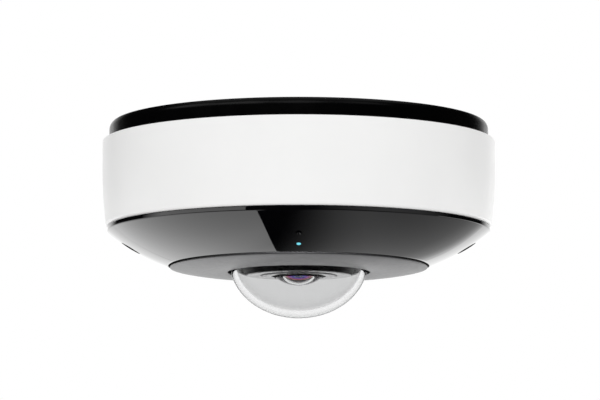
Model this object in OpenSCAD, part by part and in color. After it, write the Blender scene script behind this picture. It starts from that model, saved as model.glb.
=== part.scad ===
// Fisheye network camera for a ceiling: a rubber rimmed mount, a twist-on white camera body,
// a smoked window ring and a clear dome over an all-round lens.
// Millimetres. The origin is the centre of the ceiling face, the camera hangs down to -Z and
// its front, with the status light, faces -Y. Outlines are written as [radius, drop], where
// drop is the distance below the ceiling.

/* [Side ring] */
// Outer diameter of the white ring
ring_d = 150; // [144:1:170]
// Height of the white ring
ring_h = 33; // [31:0.5:40]
// Wall of the ring at its top
ring_wall = 2.6; // [2.4:0.1:3.2]
// Height of the upright band below the ring's top edge
ring_straight = 10; // [6:1:14]
// How far the barrel curve draws the ring in at its foot
ring_taper = 1.3; // [0.6:0.1:1.6]
// Rounding of the ring's foot
ring_foot_round = 1.4; // [1:0.1:1.6]
// Rounding of the ring's top edge
ring_top_round = 0.4; // [0.2:0.1:0.8]
// Thickness of the inward flange at the ring's foot
ring_flange_t = 2.5; // [2:0.1:3.5]
// Reach of the inward flange
ring_flange_reach = 2.9; // [2.2:0.1:3.2]

/* [Ceiling gasket] */
// How far the rubber rim stands inside the white ring
rim_inset = 2.5; // [1.5:0.1:4]
// Height of the rubber rim down to its skirt's foot
rim_h = 6.7; // [5.5:0.1:8]
// Thickness of the rubber rim behind its skirt
rim_t = 3.4; // [3.2:0.1:5]
// Gap between the rim's skirt and the camera's neck behind it
rim_neck_gap = 0.8; // [0.5:0.1:1]
// Rounding of the rim's ceiling edge
rim_round = 2.2; // [1.4:0.1:2.4]
// Rounding of the rim's lower edge
rim_soft_edge = 0.5; // [0.3:0.1:1]
// Gap between the rubber rim and the white ring
rim_gap = 0.4; // [0.3:0.1:1]

/* [Mount plate] */
// Radial width of the rubber rim
rim_w = 10.5; // [9.8:0.1:12.8]
// Thickness of the plate
plate_t = 3; // [2.4:0.1:3.2]
// Reach of the tongue that the rubber grips
tongue_reach = 4; // [2:0.5:5]
// Thickness of the tongue
tongue_t = 1.6; // [1:0.1:1.8]
// Diameter of the cable hole
cable_hole_d = 48; // [44:1:56]
// Wall of the collar round the cable hole
cable_collar_wall = 2; // [1.5:0.1:3]
// Height of the collar round the cable hole
cable_collar_h = 3; // [1:0.5:5]
// Diameter of the circle of ceiling screws
screw_circle_d = 88.9; // [80:0.1:96]
// Number of ceiling screws
screw_count = 4; // [3:1:6]
// Diameter of a ceiling screw hole
screw_hole_d = 4.5; // [4:0.1:5.5]
// Diameter of the pad round a ceiling screw hole
screw_pad_d = 11; // [9:0.5:13]
// Height of the pad round a ceiling screw hole
screw_pad_h = 1.5; // [0.5:0.1:3]
// Number of stiffening ribs
rib_count = 8; // [4:1:12]
// Thickness of a stiffening rib
rib_t = 1.6; // [1:0.1:2.4]
// Depth of a stiffening rib
rib_h = 3; // [1:0.5:5]

/* [Twist lock] */
// How far the mount's skirt stands inside the rubber rim
skirt_inset = 3.8; // [3.5:0.1:6]
// Wall of the skirt
skirt_wall = 2.2; // [1.8:0.1:3]
// Height of the skirt below the plate
skirt_h = 9; // [8:0.5:11]
// Number of lugs
lug_count = 3; // [2:1:4]
// Width of a lug in degrees
lug_deg = 24; // [18:1:26]
// Reach of a lug
lug_reach = 2.9; // [2:0.1:3.2]
// Thickness of a lug
lug_t = 2; // [1.5:0.1:2.4]
// Height of the skirt left below a lug
lug_lift = 0.6; // [0.3:0.1:1]
// Width of a ledge in degrees
ledge_deg = 28; // [24:1:32]
// Thickness of a ledge
ledge_t = 2; // [1.5:0.1:2.6]
// Width of the stop at the end of a ledge in degrees
stop_deg = 4; // [3:1:6]
// Clearance between the mount and the turning body
turn_gap = 0.4; // [0.3:0.05:0.6]
// Rest gap between a lug and its ledge
lug_gap = 0.2; // [0.1:0.05:0.3]

/* [Rear housing] */
// Wall of the housing
house_wall = 2.2; // [1.8:0.1:2.8]
// Thickness of the housing's floor
floor_t = 2.4; // [2:0.1:3]
// Gap between the mount's skirt and the housing's floor
floor_gap = 1; // [0.6:0.1:2]
// How far the neck behind the rubber skirt is set in
neck_set = 3.6; // [3.4:0.1:4.4]
// Drop of the housing's shoulder below the ring's top edge
shoulder_drop = 2.5; // [1:0.1:4]
// Rounding of the neck's top edge
neck_round = 1; // [0.4:0.1:1.4]
// Distance from the ceiling to the lower end of the cover screw bosses
boss_end = 33; // [31:0.5:34]

/* [Window] */
// Radius of the window's lower edge
window_foot_r = 49.85; // [46:0.1:54]
// Drop from the window's lip to its lower edge
window_h = 13; // [11:0.5:16]
// Height of the glossy lip under the ring
lip_h = 1.7; // [1.2:0.1:2.2]
// How far the lip stands inside the ring's outer surface
lip_inset = 1.95; // [1.6:0.05:2.4]
// Rounding of the lip's lower edge
lip_round = 0.5; // [0.2:0.1:0.7]
// Rise of the window's crown over a straight cone
crown_rise = 1.2; // [0.4:0.1:2]
// Wall of the window
window_wall = 2.4; // [1.8:0.1:2.8]
// Radial width of the window's lower edge
window_edge_w = 2.85; // [2.4:0.05:3.4]
// Wall of the collar that plugs into the housing
collar_wall = 2.3; // [1.9:0.1:2.8]
// Width of the groove for the window seal
seal_groove_w = 1.9; // [1.7:0.1:2.4]
// Depth of the groove for the window seal
seal_groove_t = 1.2; // [1:0.05:1.4]
// Distance from the collar's top to the seal groove
seal_groove_drop = 1.6; // [1:0.1:2.4]
// Section diameter of the window seal
seal_d = 1.6; // [1.4:0.05:1.7]

/* [Cover screws] */
// Distance from the pillars round the cover screws to the collar's outer surface
cover_pillar_inset = 0; // [0:0.1:0.4]
// Number of cover screws
cover_screw_count = 2; // [2:1:3]
// Diameter of the recess over a cover screw
cover_recess_d = 7; // [6.4:0.1:7.4]
// Drop of the recess floor below the window's lip
cover_recess_drop = 3.7; // [3.2:0.1:4.2]
// Diameter of a cover screw's head
cover_head_d = 5.4; // [4.6:0.1:6]
// Height of a cover screw's head
cover_head_h = 2.2; // [1.6:0.1:2.6]
// Diameter of a cover screw's shank
cover_shank_d = 2.8; // [2.4:0.1:3]
// Length of a cover screw's shank
cover_shank_l = 22; // [16:1:24]
// Wall round a cover screw hole
cover_boss_wall = 2; // [1.6:0.1:2.2]
// Width across the corners of the drive socket
drive_socket_d = 2.8; // [2:0.1:3.2]
// Depth of the drive socket
drive_socket_h = 1.4; // [1:0.1:1.6]

/* [Bezel and dome] */
// Thickness of the bezel at its outer edge
bezel_edge_t = 0.8; // [0.6:0.1:1.4]
// How far the bezel's edge stands inside the window's lower edge
bezel_inset = 0.67; // [0.4:0.01:1]
// Thickness of the bezel at its inner edge
bezel_inner_t = 2.5; // [2:0.1:3]
// Gap between the bezel's inner edge and the dome
bezel_dome_gap = 0.43; // [0.3:0.01:1]
// Rounding of the bezel's edges
bezel_round = 0.35; // [0.2:0.05:0.45]
// Wall of the bezel's collar
bezel_collar_wall = 2; // [1.5:0.1:2.4]
// Height of the bezel's collar
bezel_collar_h = 6; // [5:0.5:7]
// Number of snap hooks on the bezel's collar
hook_count = 4; // [3:1:6]
// Width of a snap hook in degrees
hook_deg = 16; // [10:1:24]
// Reach of a snap hook
hook_reach = 1.3; // [0.8:0.1:1.5]
// Outer radius of the dome at its rim
dome_r = 26.7; // [25:0.1:27.5]
// Depth of the dome below its rim
dome_h = 22; // [19:0.1:26]
// Wall of the dome
dome_wall = 2.4; // [1.8:0.1:2.8]
// Reach of the dome's flange
dome_flange_reach = 4.8; // [4:0.1:5.5]
// Thickness of the dome's flange
dome_flange_t = 2.3; // [1.8:0.1:2.6]
// Thickness of the dome seal
dome_seal_t = 1.7; // [1.2:0.1:2.2]
// Radial width of the dome seal
dome_seal_w = 3; // [2:0.1:3.2]
// Gap from the dome clamp to the infrared baffle
clamp_gap = 1; // [0.6:0.1:1.6]
// Thickness of the dome clamp
clamp_t = 2.2; // [1.6:0.1:2.6]
// Number of clamp screws
clamp_screw_count = 4; // [3:1:6]
// Diameter of a clamp screw's shank
clamp_screw_d = 2.2; // [2:0.1:2.6]
// Diameter of a clamp screw's head
clamp_head_d = 4; // [3.4:0.1:4.4]
// Height of a clamp screw's head
clamp_head_h = 1.5; // [1:0.1:1.6]
// Wall round a clamp screw hole
clamp_boss_wall = 1.3; // [1:0.1:1.6]

/* [Lens] */
// How far the lens stands below the liner's plate
lens_proud = 3.8; // [3:0.1:4.4]
// Radius of curvature of the front glass
front_glass_r = 14; // [13:0.1:16]
// Radius of the front glass at its rim
front_glass_rim_r = 10.3; // [10:0.1:10.8]
// Thickness of the front glass at its middle
front_glass_t = 1.5; // [1.2:0.1:2]
// Radius of curvature of the hollow behind the front glass
hollow_r = 7; // [6.8:0.1:7.4]
// Depth of the rim of the front glass behind its edge
front_rim_t = 1.3; // [1:0.1:1.6]
// How far the liner's neck leans in down to its plate
neck_lean = 2.66; // [1.9:0.01:3.6]
// Distance from the bezel's inner edge down to the liner's plate
liner_plate_drop = 1.3; // [0.8:0.1:2]
// Gap between the dome and the liner's neck inside its rim
liner_dome_gap = 1.4; // [0.7:0.1:2.3]
// Wall of the liner
liner_wall = 1.5; // [1.2:0.1:2]
// Gap from the liner's flange to the clamp screws
liner_flange_gap = 1.25; // [0.8:0.05:2]
// Rounding of the plate's edge
liner_round = 0.5; // [0.3:0.1:0.8]
// Radius of the lens retainer
retainer_r = 14.4; // [13.6:0.1:15]
// Distance that the retainer stands below the liner's plate
retainer_proud = 0.75; // [0.5:0.05:1]
// Thickness of the retainer
retainer_t = 1.15; // [1:0.05:1.4]
// Width of a spanner notch in the retainer
notch_w = 1.6; // [1:0.1:2]
// Depth of a spanner notch in the retainer
notch_reach = 1; // [0.6:0.1:1.4]
// Radius of the lens barrel's front
barrel_front_r = 14; // [13.2:0.1:14.2]
// Height of the lens barrel's front
barrel_front_h = 6; // [5:0.1:7]
// Radius of the lens barrel's waist
barrel_waist_r = 10.4; // [10:0.1:11]
// Radius of the threaded end of the barrel
barrel_thread_r = 8; // [7.6:0.1:8.4]
// Distance from the barrel's front to its waist's end
barrel_waist_h = 4.8; // [4.4:0.1:5.2]
// Length of the threaded end
barrel_thread_h = 6.6; // [6:0.1:7]
// Radius of the inner glasses behind the stop
rear_glass_r = 4; // [3.6:0.1:4.4]
// Radius of the stop
stop_r = 2.4; // [1.6:0.1:3]
// Wall of the lens holder
holder_wall = 2.2; // [1.8:0.1:2.6]
// Side of the lens holder's base
holder_side = 24; // [22:0.5:26]
// Height of the lens holder's base
holder_base_h = 4.8; // [4.4:0.1:5.2]

/* [Boards] */
// Distance from the ceiling to the main board
board_drop = 26; // [25:0.5:27]
// Thickness of the boards
board_t = 1.6; // [1.2:0.1:1.8]
// Gap from the main board to the pillars round the cover screws
board_edge_gap = 4; // [3:0.5:7]
// Distance from the main board's edge to the circle of board screws
board_screw_inset = 8; // [6:0.5:10]
// Number of board screws
board_screw_count = 4; // [3:1:4]
// Diameter of a board screw's shank
board_screw_d = 2.8; // [2.4:0.1:3]
// Diameter of a board screw's head
board_head_d = 5.2; // [4.6:0.1:5.8]
// Height of a board screw's head
board_head_h = 1.8; // [1.2:0.1:2.2]
// Length of a board screw's shank
board_shank_l = 8; // [6:0.5:9]
// Wall of a board boss
board_boss_wall = 1.8; // [1.5:0.1:2.2]
// Gap from the main board to the sensor board
sensor_board_gap = 8; // [7.6:0.1:8.2]
// Side of the sensor board
sensor_board_side = 40; // [38:1:42]
// Rounding of the sensor board's corners
sensor_board_round = 3; // [1:0.5:5]
// Distance between posts along each side of the sensor board
post_pitch = 32; // [30:0.5:34]
// Width across the corners of a post
post_d = 5; // [4.4:0.1:5.4]
// Side of the image sensor
sensor_side = 12; // [10:0.5:13]
// Thickness of the image sensor
sensor_t = 1.4; // [1:0.1:1.6]
// Gap from the main board to the infrared board
ir_board_gap = 12.4; // [12:0.1:12.6]
// How far the infrared board reaches inside the infrared baffle
ir_board_reach = 8; // [6:0.5:10]
// Number of infrared lamps
ir_count = 12; // [6:2:16]
// Side of an infrared lamp
ir_side = 3.5; // [2.8:0.1:4]
// Height of an infrared lamp's body
ir_body_h = 1.2; // [0.8:0.1:1.6]
// Radius of an infrared lamp's lens
ir_lens_r = 1.4; // [1:0.1:1.5]
// Gap from the infrared baffle to the bezel's collar
baffle_gap = 0.7; // [0.7:0.1:1.3]
// Wall of the infrared baffle
baffle_wall = 2; // [1.4:0.1:2]
// Distance from the main board's edge to the circle of long posts
long_post_inset = 6; // [5:0.5:9]
// Number of long posts
long_post_count = 3; // [3:1:4]

/* [Window details] */
// Distance from the window's lip in to the microphone hole
mic_inset = 10.45; // [10:0.05:11]
// Diameter of the microphone hole
mic_hole_d = 1.9; // [1.2:0.1:2.2]
// Distance from the microphone hole in to the status light
light_inset = 7; // [6:0.1:8.5]
// Diameter of the status light
light_d = 2.2; // [1.8:0.1:2.8]

/* [Jack and reset button] */
// Width of the network jack
jack_w = 16.2; // [15.6:0.1:17]
// Depth of the network jack
jack_l = 13.6; // [13:0.1:15]
// Distance from the camera's axis to the jack's middle
jack_y = 12.6; // [12:0.1:13.4]
// Width of the jack's socket
socket_w = 11.8; // [11.6:0.1:12.2]
// Height of the jack's socket
socket_l = 7; // [6.6:0.1:7.4]
// Depth of the jack's socket
socket_depth = 10; // [9:0.1:10.6]
// Width of the latch slot in the jack
latch_w = 6; // [4.2:0.1:6.4]
// Depth of the latch slot in the jack
latch_l = 2.2; // [1.6:0.1:2.6]
// Reset button's place across the camera
button_x = -14; // [-15:0.5:-12]
// Reset button's place from front to back
button_y = -6; // [-8:0.5:-4]
// Diameter of the reset button
button_d = 4; // [3.4:0.1:5]
// How far the reset button stands out of the floor
button_proud = 0.6; // [0.3:0.1:0.8]
// Travel of the reset button
button_travel = 0.8; // [0.5:0.1:1]
// Clearance round the reset button
button_gap = 0.2; // [0.15:0.05:0.3]
// Reach of the flange that keeps the reset button in
button_flange = 0.9; // [0.6:0.1:1.2]
// Side of the reset switch
switch_side = 6; // [5.6:0.1:6.6]
// Height of the reset switch's body
switch_h = 3.4; // [3:0.1:3.8]
// Diameter of the switch's plunger
plunger_d = 3.4; // [2.8:0.1:3.6]

/* [Clearances] */
// Gap between neighbouring pieces of the camera body
fit = 0.3; // [0.2:0.05:0.4]
// Gap round a screw's shank and between close parts
close_fit = 0.1; // [0.05:0.01:0.15]

/* [Hidden] */
$fn = 96;
// Overrun of every cut past the face it starts from
over = 1;
// Steps in a small rounding and in a long curve
round_steps = 5;
curve_steps = 16;

// Levels, as drops below the ceiling
ring_top = rim_h + rim_gap;
ring_foot = ring_top + ring_h;
lip_foot = ring_foot + lip_h;
window_foot = ring_foot + lip_h + window_h;
skirt_foot = plate_t + skirt_h;
lug_foot = skirt_foot - lug_lift;
lug_top = lug_foot - lug_t;
ledge_foot = lug_top - lug_gap;
neck_top = rim_t + turn_gap;
shoulder = ring_top + shoulder_drop;
floor_top = skirt_foot + floor_gap;
floor_foot = floor_top + floor_t;
house_foot = ring_foot - ring_flange_t - fit;
board_foot = board_drop + board_t;
sensor_board_top = board_foot + sensor_board_gap;
sensor_board_foot = sensor_board_top + board_t;
ir_board_top = board_foot + ir_board_gap;
ir_board_foot = ir_board_top + board_t;
bezel_top = window_foot;
bezel_foot = bezel_top + bezel_edge_t;
bezel_inner_foot = bezel_top + bezel_inner_t;
dome_rim = bezel_top - dome_seal_t;
flange_top = dome_rim - dome_flange_t;
clamp_top = flange_top - clamp_t;
plate_level = bezel_inner_foot + liner_plate_drop;
retainer_foot = plate_level + retainer_proud;
retainer_top = retainer_foot - retainer_t;
lens_foot = plate_level + lens_proud;
cover_seat = ring_foot + cover_recess_drop;

// Radii
ring_r = ring_d / 2;
ring_in_r = ring_r - ring_wall;
flange_in_r = ring_in_r - ring_flange_reach;
rim_r = ring_r - rim_inset;
plate_r = rim_r - rim_w;
skirt_r = plate_r - skirt_inset;
ledge_in_r = skirt_r + turn_gap;
recess_r = skirt_r + lug_reach + turn_gap;
house_r = ring_in_r - fit;
neck_r = house_r - neck_set;
collar_r = flange_in_r - fit;
collar_in_r = collar_r - collar_wall;
lip_r = ring_r - lip_inset;
window_in_r = window_foot_r - window_edge_w;
bezel_r = window_foot_r - bezel_inset;
bezel_in_r = dome_r + bezel_dome_gap;
bezel_collar_r = window_in_r - fit;
baffle_r = bezel_collar_r - bezel_collar_wall - baffle_gap;
dome_flange_r = dome_r + dome_flange_reach;
liner_neck_r = dome_r - dome_wall - liner_dome_gap;
liner_plate_r = liner_neck_r - neck_lean;
clamp_r = baffle_r - baffle_wall - clamp_gap;
clamp_screw_r = (dome_flange_r + clamp_r) / 2;
liner_flange_r = clamp_screw_r - clamp_head_d / 2 - liner_flange_gap;
mic_r = lip_r - mic_inset;
light_r = mic_r - light_inset;

// The window's crown is an arc from its lip to its foot
crown_from = [lip_r, lip_foot];
crown_to = [window_foot_r, window_foot];
crown_chord = norm(crown_to - crown_from);
crown_r = (crown_chord * crown_chord / 4 + crown_rise * crown_rise) / (2 * crown_rise);
crown_out = [crown_to[1] - crown_from[1], crown_from[0] - crown_to[0]] / crown_chord;
crown_mid = (crown_from + crown_to) / 2 - crown_out * (crown_r - crown_rise);
crown_a0 = atan2(crown_from[1] - crown_mid[1], crown_from[0] - crown_mid[0]);
crown_a1 = atan2(crown_to[1] - crown_mid[1], crown_to[0] - crown_mid[0]);

// Points of an arc, in [radius, drop]
function arc(mid, r, from, to, steps) =
    [for (i = [0:steps]) let (a = from + (to - from) * i / steps) mid + r * [cos(a), sin(a)]];
// Points of a quarter of an ellipse from its foot on the axis out to its rim
function bowl(r, h, rim, steps) =
    [for (i = [0:steps]) let (a = 90 * i / steps) [r * sin(a), rim + h * cos(a)]];
// Drop of a ball's lower surface at a radius from the axis
function ball_drop(mid, r, at) = mid + sqrt(r * r - at * at);

// A solid turned from an outline of [radius, drop] points
module turned(outline) {
    rotate_extrude() polygon([for (p = outline) [p[0], -p[1]]]);
}
// A sector of a ring between two radii and two drops
module sector(r_in, r_out, top, foot, middle, width) {
    rotate([0, 0, middle - width / 2])
        rotate_extrude(angle = width)
            translate([r_in, -foot]) square([r_out - r_in, foot - top]);
}
// A round bar from one drop to a lower one
module bar(r, top, foot) {
    translate([0, 0, -foot]) cylinder(r = r, h = foot - top);
}
// A box centred on a place, from one drop to a lower one
module block(size_x, size_y, top, foot) {
    translate([-size_x / 2, -size_y / 2, -foot]) cube([size_x, size_y, foot - top]);
}
// Copies spread evenly round the axis, the first at an angle
module around(count, r, first) {
    for (i = [0:count - 1]) rotate([0, 0, first + i * 360 / count]) translate([r, 0, 0]) children();
}

// Angles of the first copy in each ring of pieces
lug_first = 90;
board_first = 45;
post_first = 90;
lamp_first = 15;
cover_first = 0;
// Gap in degrees between a lug and its stop
stop_gap_deg = 0.5;
// Lean of the liner's neck from upright
neck_lean_deg = 15;
// Share of the dome seal's width that lies outside the bezel's bore, and of the retainer's
// thickness that its inner bevel and its outer edge take
seal_inset_share = 1 / 3;
retainer_bevel_share = 0.5;
retainer_edge_share = 0.25;

// Mount and ring
tongue_top = (plate_t - tongue_t) / 2;
tongue_foot = tongue_top + tongue_t;
cable_r = cable_hole_d / 2;
barrel_lean = 2 * atan(ring_taper / (ring_h - ring_straight - ring_foot_round));
barrel_l = ring_h - ring_straight - ring_foot_round * (1 - sin(barrel_lean));
barrel_curve_r = (barrel_l * barrel_l + ring_taper * ring_taper) / (2 * ring_taper);

// Screws, bosses and pillars
cover_boss_r = cover_shank_d / 2 + close_fit + cover_boss_wall;
pillar_wall = 1.1;
pillar_r = cover_recess_d / 2 + pillar_wall;
web_t = 2;
cover_screw_r = collar_r - cover_pillar_inset - pillar_r;
board_r = cover_screw_r - pillar_r - board_edge_gap;
board_screw_r = board_r - board_screw_inset;
long_post_r = board_r - long_post_inset;
ir_board_in_r = baffle_r - ir_board_reach;
ir_board_r = collar_in_r - fit;
ir_circle_r = (baffle_r + ir_board_r) / 2;
board_boss_r = board_screw_d / 2 + close_fit + board_boss_wall;
clamp_boss_r = clamp_screw_d / 2 + close_fit + clamp_boss_wall;
clamp_shank_l = bezel_top - clamp_top - fit;
clamp_rim_w = 1.8;
clamp_rim_h = 1.4;
clamp_in_r = dome_r + fit;

// Snap hooks of the bezel, just above the window's inner surface
crown_in_r = crown_r - window_wall;
hook_t = 1.3;
hook_r = bezel_collar_r + hook_reach;
hook_foot = crown_mid[1] + sqrt(pow(crown_in_r, 2) - pow(hook_r - crown_mid[0], 2)) - fit;

// Front and second glass, whose balls are centred on the axis
glass_gap = 0.05;
front_mid = lens_foot - front_glass_r;
front_seat = ball_drop(front_mid, front_glass_r, front_glass_rim_r) - front_rim_t;
hollow_mid = lens_foot - front_glass_t - hollow_r;
retainer_in_r = sqrt(pow(front_glass_r, 2) - pow(retainer_top - front_mid, 2)) + glass_gap;
second_ball_r = 8;
second_rim_r = 5.8;
second_gap = 2;
second_t = 1.2;
second_rim_t = 1.2;
second_hollow_r = 5;
second_foot = lens_foot - front_glass_t - second_gap;
second_mid = second_foot - second_ball_r;
second_seat = ball_drop(second_mid, second_ball_r, second_rim_r) - second_rim_t;
second_hollow_mid = second_foot - second_t - second_hollow_r;
second_open_r = sqrt(pow(second_hollow_r, 2) - pow(second_seat - second_hollow_mid, 2));

// Barrel, stop and the glasses behind it
stop_gap = 3.5;
stop_t = 0.6;
stop_foot = second_seat - stop_gap;
stop_top = stop_foot - stop_t;
barrel_shoulder = retainer_top - barrel_front_h;
barrel_waist_top = barrel_shoulder - barrel_waist_h;
barrel_end = barrel_waist_top - barrel_thread_h;
barrel_lip_t = 0.8;
barrel_lip_w = 0.7;
rear_seat = barrel_end + barrel_lip_t;
third_t = 2.8;
third_ball_r = 6;
rear_t = 3.6;
rear_ball_r = 5;
spacer_wall = 0.6;

// Lens holder, filter and sensor
thread_bore_r = barrel_thread_r + close_fit;
diaphragm_t = 0.4;
filter_t = 0.5;
filter_rise = 0.8;
filter_side = sensor_side + 2 * close_fit;
holder_cavity = filter_side + 2 * fit;
filter_top = sensor_board_foot + sensor_t + filter_rise;
filter_foot = filter_top + filter_t;
diaphragm_edge = 1.2;
sensor_window_edge = 1;
sensor_cover_t = 0.3;

// Boards and what stands on them
post_screw_d = 2.4;
post_head_d = 4;
post_head_h = 1.3;
connector_w = 20;
connector_l = 5;
connector_step = 0.6;
connector_y = 15;
chip_side = 19;
chip_h = 2;
chip_x = 19;
chip_y = -15;
pad_t = 0.6;
spreader_side = 24;
spreader_groove_w = 2;
spreader_groove_h = 4;
spreader_grooves = 3;
memory_w = 9;
memory_l = 11;
memory_h = 1.2;
memory_x = 34;
memory_y = 8;
memory_pitch = 14;
ribbon_inset = 4;
ribbon_x = ir_board_in_r + ribbon_inset;
ribbon_w = 10;
ribbon_t = 0.4;
ribbon_foot = 5;
contact_count = 8;
contact_pitch = 1.02;
contact_w = 0.45;
contact_drop = 2;
contact_l = 7;
mic_w = 3.8;
mic_l = 3;
mic_h = 1.2;
boot_r = 2.6;
lamp_w = 2;
lamp_h = 0.9;
guide_gap = 0.2;
guide_flange = 0.8;
guide_flange_t = 0.8;
button_flange_t = 1;
button_stem_d = 3.2;
button_edge = 0.4;
stem_l = 5;
button_flange_top = floor_foot + close_fit;
switch_top = board_drop - switch_h;
stem_foot = button_flange_top + stem_l;
plunger_foot = switch_top + button_travel;
plunger_hole_foot = plunger_foot + button_travel + fit;

// The crown's outer arc, and the same arc taken in by a distance between two radii
lip_round_deg = lip_round / crown_r * 180 / PI;
crown_line = arc(crown_mid, crown_r, crown_a0 + lip_round_deg, crown_a1, curve_steps);
function crown_angle(inset, r) = acos((r - crown_mid[0]) / (crown_r - inset));
function crown_inner(inset, from_r, to_r) =
    arc(crown_mid, crown_r - inset, crown_angle(inset, from_r), crown_angle(inset, to_r), curve_steps);
// Points of a soft corner between two neighbours
function bend(p, corner, q, steps) = [for (i = [0:steps]) let (t = i / steps)
    (1 - t) * (1 - t) * p + 2 * t * (1 - t) * corner + t * t * q];

// The room under the crown, down to its outer surface, that pillars and the light guide fill
module crown_core() {
    turned(concat([[0, boss_end], [collar_r, boss_end], [collar_r, ring_foot], [lip_r, ring_foot]],
        crown_line, [[0, window_foot]]));
}
// The room inside the window, down to its inner surface
module window_room() {
    turned(concat([[0, ir_board_foot], [collar_in_r, ir_board_foot]],
        crown_inner(window_wall + close_fit, collar_in_r, window_in_r), [[0, window_foot - window_wall]]));
}
// A square plate with rounded corners
module rounded_plate(side, r, top, foot) {
    translate([0, 0, -foot]) linear_extrude(foot - top) union() {
        square([side, side - 2 * r], center = true);
        square([side - 2 * r, side], center = true);
        for (x = [-1, 1], y = [-1, 1]) translate([x, y] * (side / 2 - r)) circle(r);
    }
}
// A ball centred on the axis at a drop
module ball(r, drop) {
    translate([0, 0, -drop]) sphere(r);
}
// A screw or a post at the middle of its circle: a head below, a shank above
module screw(head_d, head_h, shank_d, shank_l, seat) {
    bar(head_d / 2, seat, seat + head_h);
    bar(shank_d / 2, seat - shank_l, seat + head_h / 2);
}
// A hexagonal post with its screw through the board below it
module post(top, foot) {
    translate([0, 0, -foot]) cylinder(d = post_d, h = foot - top, $fn = 6);
    bar(post_screw_d / 2, (top + foot) / 2, foot + board_t + post_head_h / 2);
    bar(post_head_d / 2, foot + board_t, foot + board_t + post_head_h);
}

module mount_plate() {
    color("#232326") difference() {
        union() {
            turned([[cable_r, 0], [plate_r, 0], [plate_r, tongue_top],
                [plate_r + tongue_reach, tongue_top], [plate_r + tongue_reach, tongue_foot],
                [plate_r, tongue_foot], [plate_r, plate_t], [skirt_r, plate_t], [skirt_r, skirt_foot],
                [skirt_r - skirt_wall, skirt_foot], [skirt_r - skirt_wall, plate_t],
                [cable_r + cable_collar_wall, plate_t],
                [cable_r + cable_collar_wall, plate_t + cable_collar_h],
                [cable_r, plate_t + cable_collar_h]]);
            for (i = [0:lug_count - 1])
                sector(skirt_r - skirt_wall / 2, skirt_r + lug_reach, lug_top, lug_foot,
                    lug_first + i * 360 / lug_count, lug_deg);
            around(rib_count, (cable_r + skirt_r) / 2, 180 / rib_count)
                block(skirt_r - cable_r - skirt_wall, rib_t, plate_t / 2, plate_t + rib_h);
            around(screw_count, screw_circle_d / 2, board_first)
                bar(screw_pad_d / 2, plate_t / 2, plate_t + screw_pad_h);
        }
        around(screw_count, screw_circle_d / 2, board_first)
            bar(screw_hole_d / 2, -over, plate_t + screw_pad_h + over);
    }
}

module ceiling_gasket() {
    color("#111112") turned(concat([[plate_r, 0]],
        arc([rim_r - rim_round, rim_round], rim_round, -90, 0, 2 * round_steps),
        arc([rim_r - rim_soft_edge, rim_h - rim_soft_edge], rim_soft_edge, 0, 90, round_steps),
        [[neck_r + rim_neck_gap, rim_h], [neck_r + rim_neck_gap, rim_t], [plate_r, rim_t],
        [plate_r, tongue_foot], [plate_r + tongue_reach, tongue_foot],
        [plate_r + tongue_reach, tongue_top], [plate_r, tongue_top]]));
}

module side_ring() {
    barrel_foot = ring_top + ring_straight + barrel_l;
    foot_mid = [ring_r - ring_taper - ring_foot_round * cos(barrel_lean), ring_foot - ring_foot_round];
    color("#f1f1ef") turned(concat(
        arc([ring_r - ring_top_round, ring_top + ring_top_round], ring_top_round, -90, 0, round_steps),
        arc([ring_r - barrel_curve_r, ring_top + ring_straight], barrel_curve_r, 0, barrel_lean,
            curve_steps),
        arc(foot_mid, ring_foot_round, barrel_lean, 90, 2 * round_steps),
        [[flange_in_r, ring_foot], [flange_in_r, ring_foot - ring_flange_t],
        [ring_in_r, ring_foot - ring_flange_t], [ring_in_r, ring_top]]));
}

module rear_housing() {
    color("#1b1b1d") difference() {
        union() {
            turned(concat([[recess_r, neck_top]],
                arc([neck_r - neck_round, neck_top + neck_round], neck_round, -90, 0, round_steps),
                [[neck_r, shoulder], [house_r, shoulder], [house_r, house_foot],
                [house_r - house_wall, house_foot], [house_r - house_wall, shoulder + house_wall],
                [neck_r - house_wall, shoulder + house_wall], [neck_r - house_wall, neck_top + house_wall],
                [recess_r + house_wall, neck_top + house_wall], [recess_r + house_wall, floor_foot],
                [0, floor_foot], [0, floor_top], [recess_r, floor_top]]));
            for (i = [0:lug_count - 1]) {
                sector(ledge_in_r, recess_r + house_wall / 2, ledge_foot - ledge_t, ledge_foot,
                    lug_first + i * 360 / lug_count, ledge_deg);
                sector(ledge_in_r, recess_r + house_wall / 2, ledge_foot - ledge_t / 2, lug_foot,
                    lug_first + i * 360 / lug_count + (lug_deg + stop_deg) / 2 + stop_gap_deg, stop_deg);
            }
            around(board_screw_count, board_screw_r, board_first)
                bar(board_boss_r, floor_top + floor_t / 2, board_drop);
            around(cover_screw_count, cover_screw_r, cover_first) {
                bar(cover_boss_r, floor_top + floor_t / 2, boss_end);
                translate([(house_r - house_wall / 2 - cover_screw_r) / 2, 0, 0])
                    block(house_r - house_wall / 2 - cover_screw_r, web_t, shoulder + house_wall / 2,
                        boss_end);
            }
        }
        around(board_screw_count, board_screw_r, board_first)
            bar(board_screw_d / 2 + close_fit, board_foot - board_shank_l - fit, board_drop + over);
        around(cover_screw_count, cover_screw_r, cover_first)
            bar(cover_shank_d / 2 + close_fit, cover_seat - cover_shank_l - fit, boss_end + over);
        translate([0, jack_y, 0])
            block(jack_w + 2 * fit, jack_l + 2 * fit, floor_top - over, floor_foot + over);
        translate([button_x, button_y, 0])
            bar(button_d / 2 + button_gap, floor_top - over, floor_foot + over);
    }
}

module window_seal() {
    groove_top = boss_end + seal_groove_drop;
    color("#2a2a2c") rotate_extrude()
        translate([(collar_r - seal_groove_t + house_r - house_wall) / 2, -groove_top - seal_groove_w / 2])
            circle(d = seal_d);
}

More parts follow.
